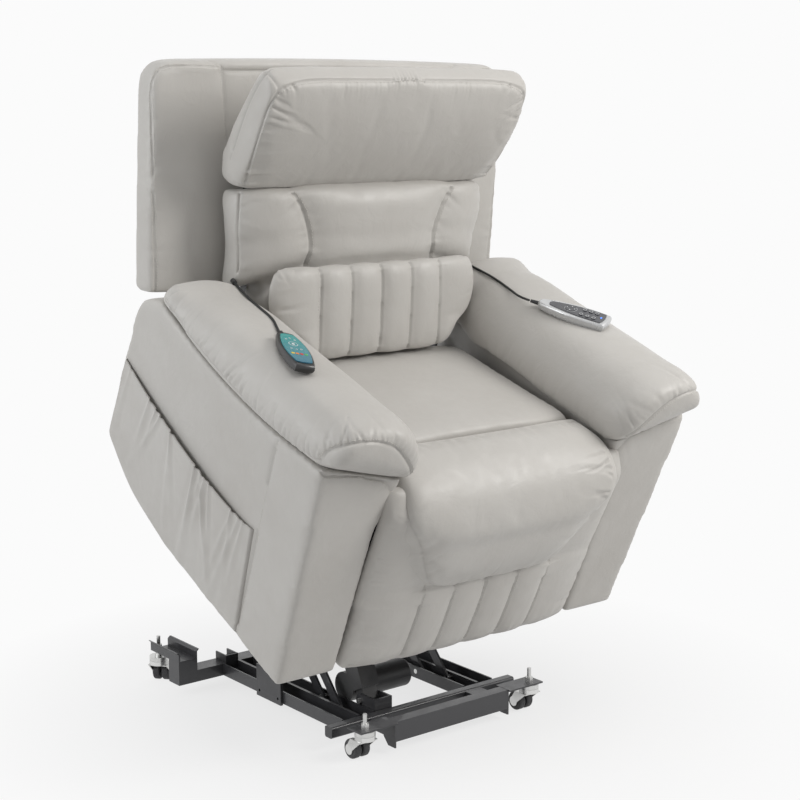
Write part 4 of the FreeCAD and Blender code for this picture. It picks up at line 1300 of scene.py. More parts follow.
@dataclass(frozen=True)
class Pocket:
    """Magazine pocket of one leather wall, gathered along its mouth.

    Args:
        mouth: Its upper edge, as chair-frame millimetres back and up.
        foot: Its lower edge, the same way.
        wall: Its thickness.
        rows: Points down it.
        folds: How many folds hang from its mouth.
        seed: Number that the folds are drawn from.
        clear: How far it stands off the arm, in millimetres.
        belly: How much farther it stands off at the middle of its mouth.
        fold_height: Height of the folds.
        sewn_side: How far its sewn ends stand off.
        sewn_foot: How far its sewn foot stands off, which is the least anywhere.
        outside: A place across the chair beyond its left side.
        arm_face: The arm's outer face, where a ray down to it finds nothing.
    """

    mouth: tuple = ((648, 276), (486, 252), (335, 236), (220, 231), (160, 235))
    foot: tuple = ((668, 92), (560, 30), (400, 7), (260, 7), (143, 10))
    wall: float = 0.0028
    rows: int = 90
    folds: int = 19
    seed: int = 31
    clear: float = 3.2
    belly: float = 9.0
    fold_height: float = 3.4
    sewn_side: float = 1.0
    sewn_foot: float = 0.6
    outside: float = -620
    arm_face: float = -437.0

    def drawn_folds(self) -> list:
        """Draws the folds.

        Returns:
            Each fold's place along the mouth, lean, reach down and height.
        """
        chance = np.random.default_rng(self.seed)
        ranges = ((0.03, 0.97), (-0.16, 0.16), (0.3, 0.95), (0.5, 1.0))
        return [tuple(chance.uniform(*ends) for ends in ranges) for _ in range(self.folds)]

    def stand_off(self, share: np.ndarray, down: float, folds: list) -> np.ndarray:
        """Works out how far one row of the wall stands off the arm.

        Args:
            share: Places along the row, from 0 to 1.
            down: The row's place, from 0 at the mouth to 1 at the foot.
            folds: The drawn folds.

        Returns:
            Millimetres, one for each place.
        """
        swell = self.belly * (1 - down) ** 0.6 * np.sin(math.pi * np.clip(share, 0.02, 0.98)) ** 0.6
        ripple = np.zeros(len(share))
        for spot, lean, reach, height in folds:
            across = (share - spot - lean * down) / (0.012 + 0.022 * down)
            hat = height * (1 - 1.4 * across**2) * np.exp(-(across**2))
            ripple += hat * math.exp(-((down / reach) ** 2.2))
        lift = self.clear + swell + self.fold_height * ripple * np.sin(math.pi * share) ** 0.4
        lift[[0, -1]] = self.sewn_side
        if down == 1:
            lift[:] = self.sewn_foot
        return np.maximum(lift, self.sewn_foot)

    def laid(self, arm: bpy.types.Object) -> np.ndarray:
        """Lays the wall's rows over the arm's outer face.

        Args:
            arm: The arm.

        Returns:
            A grid of points, rows from the mouth down.
        """
        tree = BVHTree.FromObject(arm, bpy.context.evaluated_depsgraph_get())
        mouth = np.array([(0.0, *p) for p in self.mouth]) / 1000
        tops = smooth_line(mouth, 0.003)[:, 1:] * 1000
        share = np.linspace(0, 1, len(tops))
        marks = np.linspace(0, 1, len(self.foot))
        feet = np.stack([np.interp(share, marks, [p[k] for p in self.foot]) for k in (0, 1)], 1)
        folds = self.drawn_folds()
        grid = np.zeros((self.rows, len(tops), 3))
        for r in range(self.rows):
            down = r / (self.rows - 1)
            lift = self.stand_off(share, down, folds)
            for c, (forward, up) in enumerate(tops * (1 - down) + feet * down):
                start = Vector(chair(self.outside, forward, up))
                hit = tree.ray_cast(start, Vector((1, 0, 0)))[0]
                x = hit.x * 1000 if hit is not None else self.arm_face
                grid[r, c] = chair(x - lift[c], forward, up)
        return grid

    def build(self, palette: Palette, arm: bpy.types.Object) -> None:
        """Makes the pocket's wall over the arm's outer face.

        Args:
            palette: The finishes.
            arm: The arm that it is sewn to.
        """
        grid = self.laid(arm)
        rows, wide = self.rows, grid.shape[1]
        outer = grid.reshape(-1, 3)
        points = np.vstack([outer, outer + np.array([self.wall, 0, 0])])
        size = rows * wide
        a = (np.arange(rows - 1)[:, None] * wide + np.arange(wide - 1)[None]).ravel()
        faces = np.stack([a, a + 1, a + wide + 1, a + wide], 1).tolist()
        faces += (size + np.stack([a, a + wide, a + wide + 1, a + 1], 1)).tolist()
        rim = list(range(wide)) + [r * wide + wide - 1 for r in range(1, rows)]
        rim += [(rows - 1) * wide + c for c in range(wide - 2, -1, -1)]
        rim += [r * wide for r in range(rows - 2, 0, -1)]
        faces += [(b, a, a + size, b + size) for a, b in zip(rim, rim[1:] + rim[:1])]
        piece = mesh_piece("side_pocket_wall", points, faces, palette[Slot.COVER])
        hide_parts("side_pocket")
        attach(piece, "chair")
        log.info("%s: %d faces", piece.name, len(faces))


class PaddedPart:
    """A sub-assembly of padded pieces, with its lines in chair-frame millimetres."""

    def pieces(self) -> tuple:
        """Returns its padded pieces, in the order that they are made in."""
        return ()

    def build(self, palette: Palette, threads: dict) -> None:
        """Makes, sews and dresses its pieces.

        Args:
            palette: The finishes.
            threads: The collected stitches of each body.
        """
        for part in self.pieces():
            self.dressed(part.build(palette, threads[part.body]), palette)

    def dressed(self, piece: bpy.types.Object, palette: Palette) -> None:
        """Adds what is sewn onto a piece once it is made, which here is nothing."""


@dataclass(frozen=True)
class Headrest(PaddedPart):
    """The headrest pillow.

    Args:
        face: Right half of the seam round its face.
        rim: Right half of the seam round its back edge.
        foot: Right half of the seam along its foot.
        corner: Line round its right upper corner, where the leather is gathered.
        mitre: Seam across its thickness at that corner.
        middle: The middle of its face.
        below_corner: Where the corner's gathers run to.
    """

    face: tuple = (
        (0, 590, 884), (150, 590, 884), (229, 587, 883), (270, 580, 877),
        (294, 577, 862), (308, 583, 818), (307, 589, 745), (294, 600, 648),
    )
    rim: tuple = (
        (0, 628, 900), (230, 628, 898), (290, 622, 892),
        (312, 617, 878), (313, 636, 808), (310, 650, 697),
    )
    foot: tuple = ((0, 590, 632), (150, 592, 634), (294, 600, 643))
    corner: tuple = ((300, 585, 806), (292, 578, 862), (252, 584, 879))
    mitre: tuple = ((306, 618, 886), (296, 590, 875), (290, 578, 862))
    middle: tuple = (0, 585, 760)
    below_corner: tuple = (190, 585, 780)

    def pieces(self) -> tuple:
        """Describes the pillow.

        Returns:
            The pillow, on its own in a tuple.
        """
        seams = (
            Seam(
                whole(self.face), depth=3.0, width=2.6, roll=4, roll_width=26,
                gather=0.7, reach=38, pitch=21, focus=self.middle, stitch=(-5.0,),
            ),
            Seam(whole(self.rim), depth=3.0, width=2.6, roll=2, roll_width=10),
            Seam(
                whole(self.foot), depth=3, width=3, roll=3, roll_width=18,
                gather=0.8, reach=30, pitch=24, focus=self.middle,
            ),
        )
        seams += both(Seam(
            self.corner, depth=0, width=2, roll=0, roll_width=8,
            gather=3.4, reach=70, pitch=15, focus=self.below_corner,
        ))
        seams += both(Seam(self.mitre, depth=3, width=3, roll=2, roll_width=12))
        fill = (
            Push((0, 604, 648), (400, 70, 40), (0, 0, -21)),
            Push((0, 600, 880), (420, 100, 70), (0, 0, 17)),
        )
        fill += both(Push((308, 600, 770), (60, 90, 160), (5, 0, 0)))
        return (Upholstery(
            "headrest_pillow", "headrest", Feel.PILLOW, seams, fill,
            voxel=0.005, soften=8, swell=0.007, slack=0.006, seed=3,
        ),)


@dataclass(frozen=True)
class Backrest(PaddedPart):
    """The back cushion, the lumbar pillow and the padded outer back.

    Args:
        pillar: Seam down the back cushion's right side, inside its bolster.
        bolster: Seam down the outside of that bolster.
        channels: Places across of the lumbar pillow's channels.
        channel: One channel's points, as millimetres back and up.
        ear: Line round the pillow's right upper corner.
        wing: Seam round the outer back's right edge.
        notch: Seam down beside the headrest.
        top: Right half of the seam over the top.
    """

    pillar: tuple = (
        (192, 590, 652), (172, 572, 626), (157, 557, 591),
        (151, 545, 556), (160, 530, 505), (175, 505, 430),
    )
    bolster: tuple = ((296, 622, 645), (301, 604, 614), (300, 592, 564), (298, 570, 500))
    channels: tuple = (-146, -73, 0, 73, 146)
    channel: tuple = ((441, 372), (464, 420), (486, 475), (496, 520), (515, 533))
    ear: tuple = ((205, 520, 534), (228, 530, 528), (238, 525, 505), (238, 505, 450))
    wing: tuple = (
        (411, 633, 429), (417, 676, 546), (422, 732, 670), (422, 772, 755),
        (416, 786, 795), (397, 788, 811), (350, 787, 814), (277, 786, 812),
    )
    notch: tuple = (
        (296, 800, 824), (280, 788, 816), (276, 778, 800), (270, 760, 757), (262, 735, 690),
    )
    top: tuple = ((0, 784, 809), (272, 784, 807))

    def cushion(self) -> Upholstery:
        """Describes the back cushion.

        Returns:
            The cushion.
        """
        seams = both(
            Seam(
                self.pillar, depth=5, width=3.5, roll=7, roll_width=26,
                gather=1.2, reach=34, pitch=24, stitch=(4.5,),
            ),
            Seam(
                self.bolster, depth=4, width=3, roll=5, roll_width=20,
                gather=1.4, reach=36, pitch=22, focus=(0, 560, 570),
            ),
        )
        fill = both(Push((272, 620, 510), (90, 90, 54), (-28, 2, -62)))
        fill += both(Push((290, 620, 450), (80, 120, 64), (-34, 0, 0)))
        fill += both(Push((236, 600, 440), (56, 80, 100), (48, -6, 0)))
        fill += (
            Push((0, 500, 345), (330, 60, 30), (0, 0, -22)),
            Push((0, 610, 656), (340, 80, 26), (0, -4, 12)),
        )
        return Upholstery(
            "back_cushion", "backrest", Feel.PILLOW, seams, fill,
            voxel=0.006, soften=6, swell=0.008, slack=0.006, seed=5,
        )

    def pillow(self) -> Upholstery:
        """Describes the lumbar pillow.

        Returns:
            The pillow.
        """
        sewn = {"depth": 3.2, "width": 2.2, "roll": 3, "roll_width": 16, "stitch": (3.2,)}
        lines = at_places(self.channel, self.channels)
        seams = tuple(Seam(points, reach=20, **sewn) for points in lines)
        seams += both(Seam(
            self.ear, depth=2.5, width=3, roll=2, roll_width=14,
            gather=2.6, reach=46, pitch=17, focus=(170, 495, 460),
        ))
        fill = both(Push((236, 500, 470), (40, 60, 80), (13, -4, 0)))
        fill += both(Push((228, 450, 368), (70, 60, 56), (-14, 0, 16)))
        fill += tuple(Push((x, 472, 448), (24, 70, 130), (0, -10, 3)) for x in self.channels)
        return Upholstery(
            "lumbar_pillow", "lumbar", Feel.PILLOW, seams, fill,
            voxel=0.005, soften=10, swell=0.005, slack=0.006, seed=7,
        )

    def shell(self) -> Upholstery:
        """Describes the padded outer back.

        Returns:
            The outer back.
        """
        seams = both(
            Seam(
                self.wing, depth=2.6, width=2.2, roll=2, roll_width=14,
                gather=0.9, reach=30, pitch=26, stitch=(-3.6, 3.6),
            ),
            Seam(
                self.notch, depth=2.6, width=2.2, roll=2, roll_width=12, reach=30, stitch=(-3.4,),
            ),
        )
        seams += (Seam(
            whole(self.top), depth=2.4, width=2.2, roll=1.5, roll_width=12,
            reach=30, stitch=(-3.4, 3.4),
        ),)
        fill = both(Push((418, 740, 620), (60, 220, 420), (8, 0, 0)))
        return Upholstery(
            "back_shell", "backrest", Feel.PANEL, seams, fill, voxel=0.007, soften=4, seed=9,
        )

    def pieces(self) -> tuple:
        """Returns the cushion, the pillow and the outer back."""
        return self.cushion(), self.pillow(), self.shell()


@dataclass(frozen=True)
class Arms(PaddedPart):
    """Both arms with their pads and the side pocket, each line for the right arm.

    Args:
        cap: Seam along the pad's outer edge.
        arc: Seam round the pad's front.
        inner: Line along the pad's inner edge.
        roll: Seam over the arm's front panel.
        post: Seam down the arm's side, behind the front panel.
        above: Point over the arm that the pad's gathers run to.
        over_front: Point behind the pad's front that its gathers run to.
        panel: Point on the front panel that its gathers run to.
        pocket: The pocket on the left arm.
    """

    cap: tuple = (
        (443, 570, 462), (441, 502, 444), (446, 430, 443), (446, 338, 438),
        (446, 252, 437), (446, 158, 440), (445, 90, 450), (444, 40, 467),
    )
    arc: tuple = (
        (444, 36, 470), (437, 30, 498), (416, 9, 522), (378, -4, 529),
        (325, -6, 510), (283, -5, 470), (258, 2, 436),
    )
    inner: tuple = ((240, 30, 408), (236, 120, 392), (236, 250, 376), (236, 400, 362))
    roll: tuple = (
        (444, 34, 462), (430, 24, 450), (400, 12, 452), (372, 9, 453),
        (330, 12, 440), (296, 18, 418), (270, 22, 385),
    )
    post: tuple = ((439, 157, 428), (428, 150, 230), (416, 143, 12))
    above: tuple = (345, 300, 900)
    over_front: tuple = (345, 260, 560)
    panel: tuple = (350, 12, 300)
    pocket: Pocket = Pocket()

    def pad(self, side: int, name: str) -> Upholstery:
        """Describes the pad of one arm.

        Args:
            side: -1 for the left, 1 for the right.
            name: The side's name.

        Returns:
            The pad.
        """
        seams = (
            Seam(
                self.cap, depth=2.5, width=2.6, roll=4, roll_width=22,
                gather=3.0, reach=46, pitch=15, focus=self.above,
            ),
            Seam(
                self.arc, depth=3.5, width=2.6, roll=3, roll_width=16,
                gather=2.6, reach=42, pitch=14, focus=self.over_front, stitch=(4.5,),
            ),
            Seam(
                self.inner, depth=2, width=3, roll=3, roll_width=18,
                gather=1.5, reach=34, pitch=20, focus=self.above,
            ),
        )
        return Upholstery(
            f"arm_pad_{name}", "chair", Feel.PAD, tuple(seam.on(side) for seam in seams), (),
            voxel=0.006, soften=6, swell=0.002, slack=0.004, seed=11 + side,
        )

    def arm(self, side: int, name: str) -> Upholstery:
        """Describes one arm.

        Args:
            side: -1 for the left, 1 for the right.
            name: The side's name.

        Returns:
            The arm.
        """
        seams = (
            Seam(
                self.roll, depth=2.6, width=2.2, roll=3, roll_width=14,
                gather=1.0, reach=26, pitch=20, focus=self.panel, stitch=(-4.0,),
            ),
            Seam(self.post, depth=3.2, width=2.3, roll=2, roll_width=12, reach=20, stitch=(3.6,)),
        )
        return Upholstery(
            f"arm_{name}", "chair", Feel.PANEL, tuple(seam.on(side) for seam in seams), (),
            voxel=0.007, soften=7, seed=15 + side,
        )

    def pieces(self) -> tuple:
        """Describes the pieces of both arms.

        Returns:
            Each arm's pad and the arm, the left ones first.
        """
        made = ()
        for side, name in zip(SIDES, ("left", "right")):
            made += (self.pad(side, name), self.arm(side, name))
        return made

    def dressed(self, piece: bpy.types.Object, palette: Palette) -> None:
        """Sews the pocket onto the left arm once that is made."""
        if piece.name == "arm_left_cover":
            self.pocket.build(palette, piece)


@dataclass(frozen=True)
class Front(PaddedPart):
    """The pad over the seat's front edge, the footrest's cover and the seat.

    Args:
        apron: Right half of the apron's hanging edge.
        brow: Right half of the seam along the seat's front edge.
        dent: Line where the leather is drawn in beside the right arm.
        channels: Places across of the footrest's channels.
        channel: One channel's points, as millimetres back and up.
        hem: Right half of the seam along the footrest's lower edge.
        edge: Line down the footrest's right side.
    """

    apron: tuple = (
        (0, -26, 168), (60, -26, 169), (112, -26, 174), (142, -26, 186), (164, -26, 208),
        (182, -26, 240), (204, -26, 282), (228, -24, 322), (250, -14, 352), (262, 0, 372),
    )
    brow: tuple = ((0, 124, 420), (120, 122, 419), (246, 100, 412))
    dent: tuple = ((226, 20, 402), (228, -10, 372), (214, -26, 330))
    channels: tuple = (-153, -77, 0, 77, 153)
    channel: tuple = ((-20, 190), (-24, 120), (-24, 60), (-22, 22))
    hem: tuple = ((0, -20, 9), (130, -20, 9), (262, -14, 12))
    edge: tuple = ((272, 6, 372), (273, 8, 280), (273, 8, 160), (272, 4, 40))

    def pad(self) -> Upholstery:
        """Describes the pad over the front edge, with its apron.

        Returns:
            The pad.
        """
        seams = (
            Seam(
                whole(self.apron), depth=2.0, width=2.6, roll=3, roll_width=18,
                gather=1.3, reach=46, pitch=26, focus=(0, -40, 330),
            ),
            Seam(
                whole(self.brow), depth=3.0, width=3.0, roll=4, roll_width=22,
                gather=1.8, reach=40, pitch=30, focus=(0, 20, 420),
            ),
            Seam(
                self.dent, depth=0, width=2, roll=0, roll_width=8,
                gather=3.2, reach=64, pitch=20, focus=(120, -30, 350),
            ),
        )
        fill = (
            Push((0, -28, 235), (290, 90, 140), (0, -8, 0)),
            Undercut(whole(self.apron), step=20.0),
        )
        return Upholstery(
            "front_pad", "chair", Feel.PAD, seams, fill,
            voxel=0.005, soften=12, swell=0.006, slack=0.008, seed=23,
        )

    def footrest(self) -> Upholstery:
        """Describes the footrest's cover.

        Returns:
            The cover.
        """
        sewn = {"depth": 2.6, "width": 2.2, "roll": 4.0, "roll_width": 18, "stitch": (3.4,)}
        drawn = {"gather": 0.6, "reach": 22, "pitch": 34}
        lines = at_places(self.channel, self.channels)
        seams = tuple(Seam(points, **sewn, **drawn) for points in lines)
        seams += (Seam(
            whole(self.hem), depth=2.0, width=2.4, roll=2, roll_width=12,
            gather=1.2, reach=30, pitch=22, focus=(0, -24, 600),
        ),)
        seams += both(Seam(
            self.edge, depth=0, width=2, roll=0, roll_width=8,
            gather=1.8, reach=60, pitch=34, focus=(150, -20, 230),
        ))
        fill = tuple(Push((x, -22, 90), (20, 60, 150), (0, -4.5, 0)) for x in self.channels)
        fill += (Push((0, -20, 178), (240, 60, 20), (0, 3, 8)),)
        return Skirt(
            "footrest_cushion", "footrest", Feel.PAD, seams, fill, voxel=0.005, soften=8, seed=25,
        )

    def seat(self) -> Upholstery:
        """Describes the seat cushion.

        Returns:
            The cushion.
        """
        fill = (Push((0, 474, 320), (300, 26, 60), (0, 34, -6)),)
        return Upholstery(
            "seat_cushion", "chair", Feel.PILLOW, (), fill, voxel=0.007, soften=6, seed=27,
        )

    def pieces(self) -> tuple:
        """Returns the pad, the footrest's cover and the seat."""
        return self.pad(), self.footrest(), self.seat()


class ChairCover:
    """All the upholstery of the chair, by sub-assembly."""

    def __init__(self, palette: Palette) -> None:
        """Starts each body's thread.

        Args:
            palette: The finishes.
        """
        self.palette = palette
        bodies = ("chair", "backrest", "footrest", "headrest", "lumbar")
        self.threads = {body: Thread(body) for body in bodies}

    def build(self) -> None:
        """Makes every piece and its stitches."""
        for part in (Headrest(), Backrest(), Arms(), Front()):
            part.build(self.palette, self.threads)
        for thread in self.threads.values():
            thread.build(self.palette.thread)
            log.info("%d stitches on %s", len(thread.centres), thread.body)


@dataclass(frozen=True)
class Lead:
    """A free cord on its route.

    Args:
        node: The modelled cord that it stands for.
        points: Chair-frame points of the route, in millimetres.
        diameter: The cord's diameter.
    """

    node: str
    points: tuple
    diameter: float = 0.0048

    def build(self, palette: Palette) -> None:
        """Makes the cord's curve.

        Args:
            palette: The finishes.
        """
        curve = bpy.data.curves.new(f"{self.node}_line", "CURVE")
        curve.dimensions = "3D"
        curve.bevel_depth = self.diameter / 2
        curve.bevel_resolution = 5
        curve.resolution_u = 24
        curve.use_fill_caps = True
        spline = curve.splines.new("NURBS")
        spline.points.add(len(self.points) - 1)
        for knot, point in zip(spline.points, self.points):
            knot.co = (*chair(*point), 1.0)
        spline.order_u = 3
        spline.use_endpoint_u = True
        curve.materials.append(palette[Slot.CORD])
        piece = placed(f"{self.node}_line", curve)
        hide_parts(self.node)
        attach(piece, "chair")


@dataclass(frozen=True)
class Ring:
    """A raised ring on a control's face, or a dot where its wire is as wide as its radius.

    Args:
        name: The piece's name.
        node: The modelled piece that it lies on.
        body: The body that it rides on.
        spot: Its place across and along the control, in millimetres.
        radius: Its radius, in millimetres.
        wire: Half its wire's width, in millimetres.
        stretch: Its length over its width.
        around: Points round it.
        section: Points round its wire.
    """

    name: str
    node: str
    body: str
    spot: tuple
    radius: float
    wire: float
    stretch: float = 1.0
    around: int = 36
    section: int = 8

    def faces(self) -> list:
        """Joins the ring's points.

        Returns:
            Its squares, as vertex numbers.
        """
        made = []
        for k in range(self.around):
            for m in range(self.section):
                here, there = k * self.section, (k + 1) % self.around * self.section
                n = (m + 1) % self.section
                made.append((here + m, there + m, there + n, here + n))
        return made


@dataclass(frozen=True)
class Handset:
    """A corded control, for the marks on its face.

    Args:
        place: Its middle in chair-frame millimetres.
        turns: Its yaw, roll and pitch in degrees.
        above: A height clear of its face, in its own millimetres.
        face: The face's height, where a ray down to it finds nothing.
    """

    place: tuple
    turns: tuple
    above: float = 40
    face: float = 18.5

    def at(self, x: float, y: float, z: float) -> Vector:
        """Turns a point of the control into the row frame.

        Args:
            x: Millimetres across it.
            y: Millimetres along it.
            z: Millimetres up from its middle.

        Returns:
            The point in metres.
        """
        yaw, roll, pitch = (math.radians(turn) for turn in self.turns)
        turned = Matrix.Rotation(pitch, 3, "X") @ Matrix.Rotation(roll, 3, "Y")
        turned = turned @ Matrix.Rotation(yaw, 3, "Z") @ Vector((x, y, z))
        return Vector(chair(*(Vector(self.place) + turned)))

    def mark(self, ring: Ring, finish: bpy.types.Material) -> None:
        """Lays a ring on the face.

        Args:
            ring: The ring.
            finish: Its material.
        """
        sunk, proud = 0.00018, 0.0002
        tree = BVHTree.FromObject(frame["nodes"][ring.node], bpy.context.evaluated_depsgraph_get())
        down = (self.at(0, 0, 0) - self.at(0, 0, 1)).normalized()
        points = []
        for k in range(ring.around):
            turn = 2 * math.pi * k / ring.around
            for m in range(ring.section):
                lean = 2 * math.pi * m / ring.section
                reach = ring.radius + ring.wire * math.cos(lean)
                x = ring.spot[0] + reach * math.cos(turn)
                y = ring.spot[1] + ring.stretch * reach * math.sin(turn)
                hit = tree.ray_cast(self.at(x, y, self.above), down)[0]
                base = hit if hit is not None else self.at(x, y, self.face)
                points.append(base - down * (sunk + proud * math.sin(lean)))
        rows = np.array([tuple(p) for p in points])
        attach(mesh_piece(ring.name, rows, ring.faces(), finish), ring.body)


@dataclass(frozen=True)
class Controls:
    """The printed and lit marks of both controls, places in each control's own millimetres.

    Args:
        hand: The hand control.
        massage: The massage remote.
        pad: Middle of the hand control's direction pad.
        pad_marks: The marks on that pad.
        key_step: Distance between its keys, across and along.
        first_key: Place of its first key.
        power_light: Place of its power light.
        remote_ring: Middle of the remote's ring.
        remote_marks: The rings round it.
        key_colours: Colours of the remote's keys.
        glow: Colour of the power light.
    """

    hand: Handset = Handset((328.1, 289.6, 517.0), (26.6, -8.7, -6.2))
    massage: Handset = Handset((-371.0, 253.5, 526.3), (-18.0, 6.1, -6.2))
    pad: tuple = (0, 7)
    pad_marks: tuple = ((0, 14.5), (7.5, 7), (0, -0.5), (-7.5, 7))
    key_step: tuple = (21, -13)
    first_key: tuple = (-10.5, -19)
    power_light: tuple = (0, -57.5)
    remote_ring: tuple = (0, 16)
    remote_marks: tuple = ((-9, -4), (0, -6), (9, -4), (-8, 34), (8, 34), (0, 40))
    key_colours: tuple = ((0.75, 0.55, 0.03), (0.8, 0.2, 0.02), (0.6, 0.03, 0.02), (0.1, 0.45, 0.1))
    glow: tuple = (0.08, 0.25, 1.0)

    def lamp_finish(self) -> bpy.types.Material:
        """Makes the power light's finish.

        Returns:
            The material.
        """
        # Its edge colour is a painted highlight.
        made = Coated("blue_light", (0.05, 0.2, 0.9), edge_highlight=(0.2, 0.4, 1.0), rough=0.3).material()
        shader = made.node_tree.nodes["Principled BSDF"]
        shader.inputs["Emission Color"].default_value = rgba(self.glow)
        shader.inputs["Emission Strength"].default_value = 1.6
        return made

    def mark_hand(self, palette: Palette) -> None:
        """Lays the hand control's marks.

        Args:
            palette: The finishes.
        """
        face = "hand_control_face"
        self.hand.mark(Ring("pad_ring", face, "chair", self.pad, 12.5, 0.4), palette.mark)
        for number, spot in enumerate(self.pad_marks, 1):
            ring = Ring(f"pad_mark_{number}", "hand_control_pad", "control_pad", spot, 0.7, 0.65)
            self.hand.mark(ring, palette.mark)
        for number in range(6):
            x = self.first_key[0] + self.key_step[0] * (number % 2)
            y = self.first_key[1] + self.key_step[1] * (number // 2)
            key = number + 1
            names = (f"key_ring_{key}", f"hand_control_key_{key}", f"control_key_{key}")
            ring = Ring(*names, (x, y), 3.3, 0.45)
            self.hand.mark(ring, palette.mark)
        ring = Ring("power_light", face, "chair", self.power_light, 1.3, 1.25, stretch=0.7)
        self.hand.mark(ring, self.lamp_finish())

    def mark_remote(self, palette: Palette) -> None:
        """Lays the massage remote's marks.

        Args:
            palette: The finishes.
        """
        face = "massage_remote_face"
        for name, radius, wire in (("remote_ring", 8.0, 0.5), ("remote_eye", 1.6, 1.5)):
            ring = Ring(name, face, "chair", self.remote_ring, radius, wire)
            self.massage.mark(ring, palette.mark)
        for number, spot in enumerate(self.remote_marks, 1):
            ring = Ring(f"remote_mark_{number}", face, "chair", spot, 1.5, 0.45)
            self.massage.mark(ring, palette.mark)
        for number, colour in enumerate(self.key_colours):
            name = f"remote_key_{number + 1}"
            paint = Coated(name, colour, edge_highlight=colour, rough=0.35).material()
            self.massage.mark(Ring(name, face, "chair", (8 * number - 12, -24), 1.7, 1.65), paint)

    def build(self, palette: Palette) -> None:
        """Lays every mark."""
        self.mark_hand(palette)
        self.mark_remote(palette)


@dataclass(frozen=True)
class Lamp:
    """A soft square lamp.

    Args:
        name: Its name.
        spot: Where it hangs.
        aim: The point that it faces.
        size: Its side.
        power: Its watts.
        colour: Its colour.
    """

    name: str
    spot: tuple
    aim: tuple
    size: float
    power: float
    colour: tuple

    def hang(self) -> None:
        """Puts the lamp into the scene."""
        data = bpy.data.lights.new(self.name, "AREA")
        data.shape = "SQUARE"
        data.size = self.size
        data.energy = self.power
        data.color = self.colour
        holder = placed(self.name, data)
        holder.location = self.spot
        way = Vector(self.aim) - Vector(self.spot)
        holder.rotation_euler = way.to_track_quat("-Z", "Y").to_euler()


def looked_at(tree: bpy.types.NodeTree) -> bpy.types.NodeSocket:
    """Finds the rays that see white: the eye's own, and those off metal or through a clear face.

    Args:
        tree: The node tree that asks.

    Returns:
        1 for such a ray and 0 for one that carries light.
    """
    path = tree.nodes.new("ShaderNodeLightPath")
    total = path.outputs["Is Camera Ray"]
    for name in ("Is Glossy Ray", "Is Transmission Ray"):
        total = worked_out(tree, "ShaderNodeMath", "MAXIMUM", total, path.outputs[name]).outputs[0]
    return total


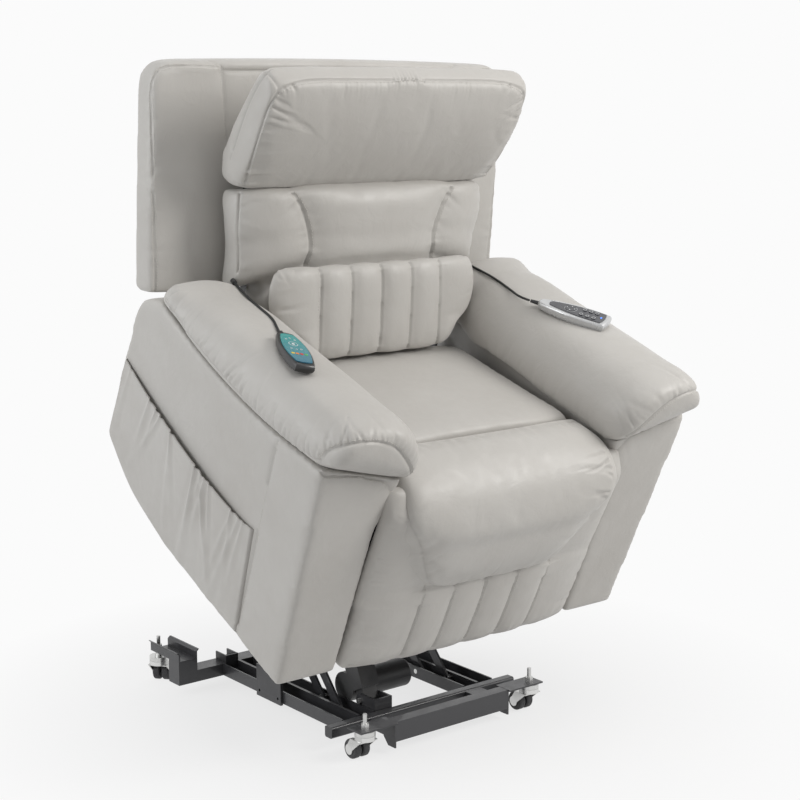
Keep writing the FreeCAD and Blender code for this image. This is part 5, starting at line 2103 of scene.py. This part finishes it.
@dataclass(frozen=True)
class Studio:
    """The camera, lights and white room of the picture.

    Args:
        spot: Where the camera stands.
        turn: How it is turned, in degrees.
        lens: Its focal length in millimetres.
        sensor: Its sensor's width in millimetres.
        ambient: Strength of the light that the room gives.
        white: The room's grey level as seen.
        shadow: The floor's share of that under the chair.
        fade: Distances from the middle over which the floor turns to the room's white.
        reach: Half the floor's side.
        lamps: The lamps.
    """

    spot: tuple = (-2.0158, -2.5741, 1.2115)
    turn: tuple = (79.88, 0.0, -38.57)
    lens: float = 76.46
    sensor: float = 36.0
    ambient: float = 0.38
    white: float = 0.965
    shadow: float = 0.76
    fade: tuple = (0.35, 0.95)
    reach: float = 14.0
    lamps: tuple = (
        Lamp(
            "key", (1.7, -2.3, 2.3), aim=(0, -0.1, 0.8),
            size=1.3, power=62.0, colour=(1.0, 0.985, 0.96),
        ),
        Lamp(
            "fill", (-3.0, 0.9, 1.7), aim=(0, 0, 0.6),
            size=2.0, power=44.0, colour=(0.96, 0.98, 1.0),
        ),
        Lamp("top", (-0.2, -0.7, 3.4), aim=(0, 0, 0.6), size=2.2, power=23.0, colour=(1, 1, 1)),
    )

    def camera(self) -> None:
        """Sets the camera of the photograph."""
        data = bpy.data.cameras.new("photo_camera")
        data.lens = self.lens
        data.sensor_width = self.sensor
        holder = placed("photo_camera", data)
        holder.location = self.spot
        holder.rotation_euler = Euler([math.radians(turn) for turn in self.turn])
        bpy.context.scene.camera = holder

    def world(self) -> None:
        """Makes the room white to the eye and soft to the light."""
        world = bpy.data.worlds.new("white_room")
        bpy.context.scene.world = world
        world.use_nodes = True
        tree = world.node_tree
        shade = tree.nodes["Background"]
        shade.inputs["Color"].default_value = (1, 1, 1, 1)
        shade.inputs["Strength"].default_value = self.ambient
        seen = tree.nodes.new("ShaderNodeBackground")
        seen.inputs["Color"].default_value = rgba((self.white,) * 3)
        mix = tree.nodes.new("ShaderNodeMixShader")
        for number, socket in enumerate((looked_at(tree), shade.outputs[0], seen.outputs[0])):
            feed(tree, mix, number, socket)
        feed(tree, tree.nodes["World Output"], "Surface", mix.outputs[0])

    def floor(self) -> None:
        """Lays a pale floor that fades into the room away from the chair."""
        ink = Ink("pale_floor")
        ink.finish(Base_Color=rgba((0.7,) * 3), Roughness=0.9, Specular_IOR_Level=0.1)
        glow = ink.add("ShaderNodeEmission", Color=rgba((self.white,) * 3), Strength=1.0)
        length = worked_out(ink.tree, "ShaderNodeVectorMath", "LENGTH", ink.place)
        share = ink.ramp(length.outputs["Value"], *self.fade, first=self.shadow)
        seen = worked_out(ink.tree, "ShaderNodeMath", "MULTIPLY", share, looked_at(ink.tree))
        mix = ink.tree.nodes.new("ShaderNodeMixShader")
        for number, socket in enumerate((seen.outputs[0], ink.shader.outputs[0], glow.outputs[0])):
            feed(ink.tree, mix, number, socket)
        feed(ink.tree, ink.tree.nodes["Material Output"], "Surface", mix.outputs[0])
        reach = self.reach
        corners = [(-reach, -reach, 0), (reach, -reach, 0), (reach, reach, 0), (-reach, reach, 0)]
        mesh_piece("floor", np.array(corners, float), [(0, 1, 2, 3)], ink.material)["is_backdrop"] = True

    def build(self) -> None:
        """Sets up the whole studio."""
        self.camera()
        self.world()
        self.floor()
        for lamp in self.lamps:
            lamp.hang()
        bpy.context.scene.view_settings.view_transform = "Standard"


def measure(name: str, sizes: dict) -> None:
    """Notes the shown object's bounds under a name."""
    low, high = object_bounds()
    sizes[name] = [list(low), list(high)]


HAND_CONTROL_ROUTE = (
    (285.0, 375.5, 509.5), (283.0, 400.0, 501.5), (291.0, 440.0, 495.5),
    (298.0, 497.0, 487.5), (291.0, 543.0, 482.0), (288.0, 566.0, 478.6),
)
MASSAGE_ROUTE = (
    (-343.0, 337.5, 518.5), (-333.0, 362.0, 514.0), (-314.0, 402.0, 506.0), (-313.0, 452.0, 500.5),
    (-303.0, 505.0, 488.5), (-296.0, 545.0, 484.0), (-291.0, 566.0, 480.6),
)


def main() -> None:
    """Builds the scene and reports each piece."""
    sizes: dict = {}
    measure("modelled", sizes)
    Studio().build()
    palette = Palette()
    log.info("%d modelled pieces dressed", palette.dress())
    Lead("hand_control_cord", HAND_CONTROL_ROUTE).build(palette)
    Lead("massage_cord", MASSAGE_ROUTE).build(palette)
    Controls().build(palette)
    ChairCover(palette).build()
    measure("shown", sizes)


if __name__ == "__main__":
    logging.basicConfig(level=logging.INFO, format="%(message)s")
    main()
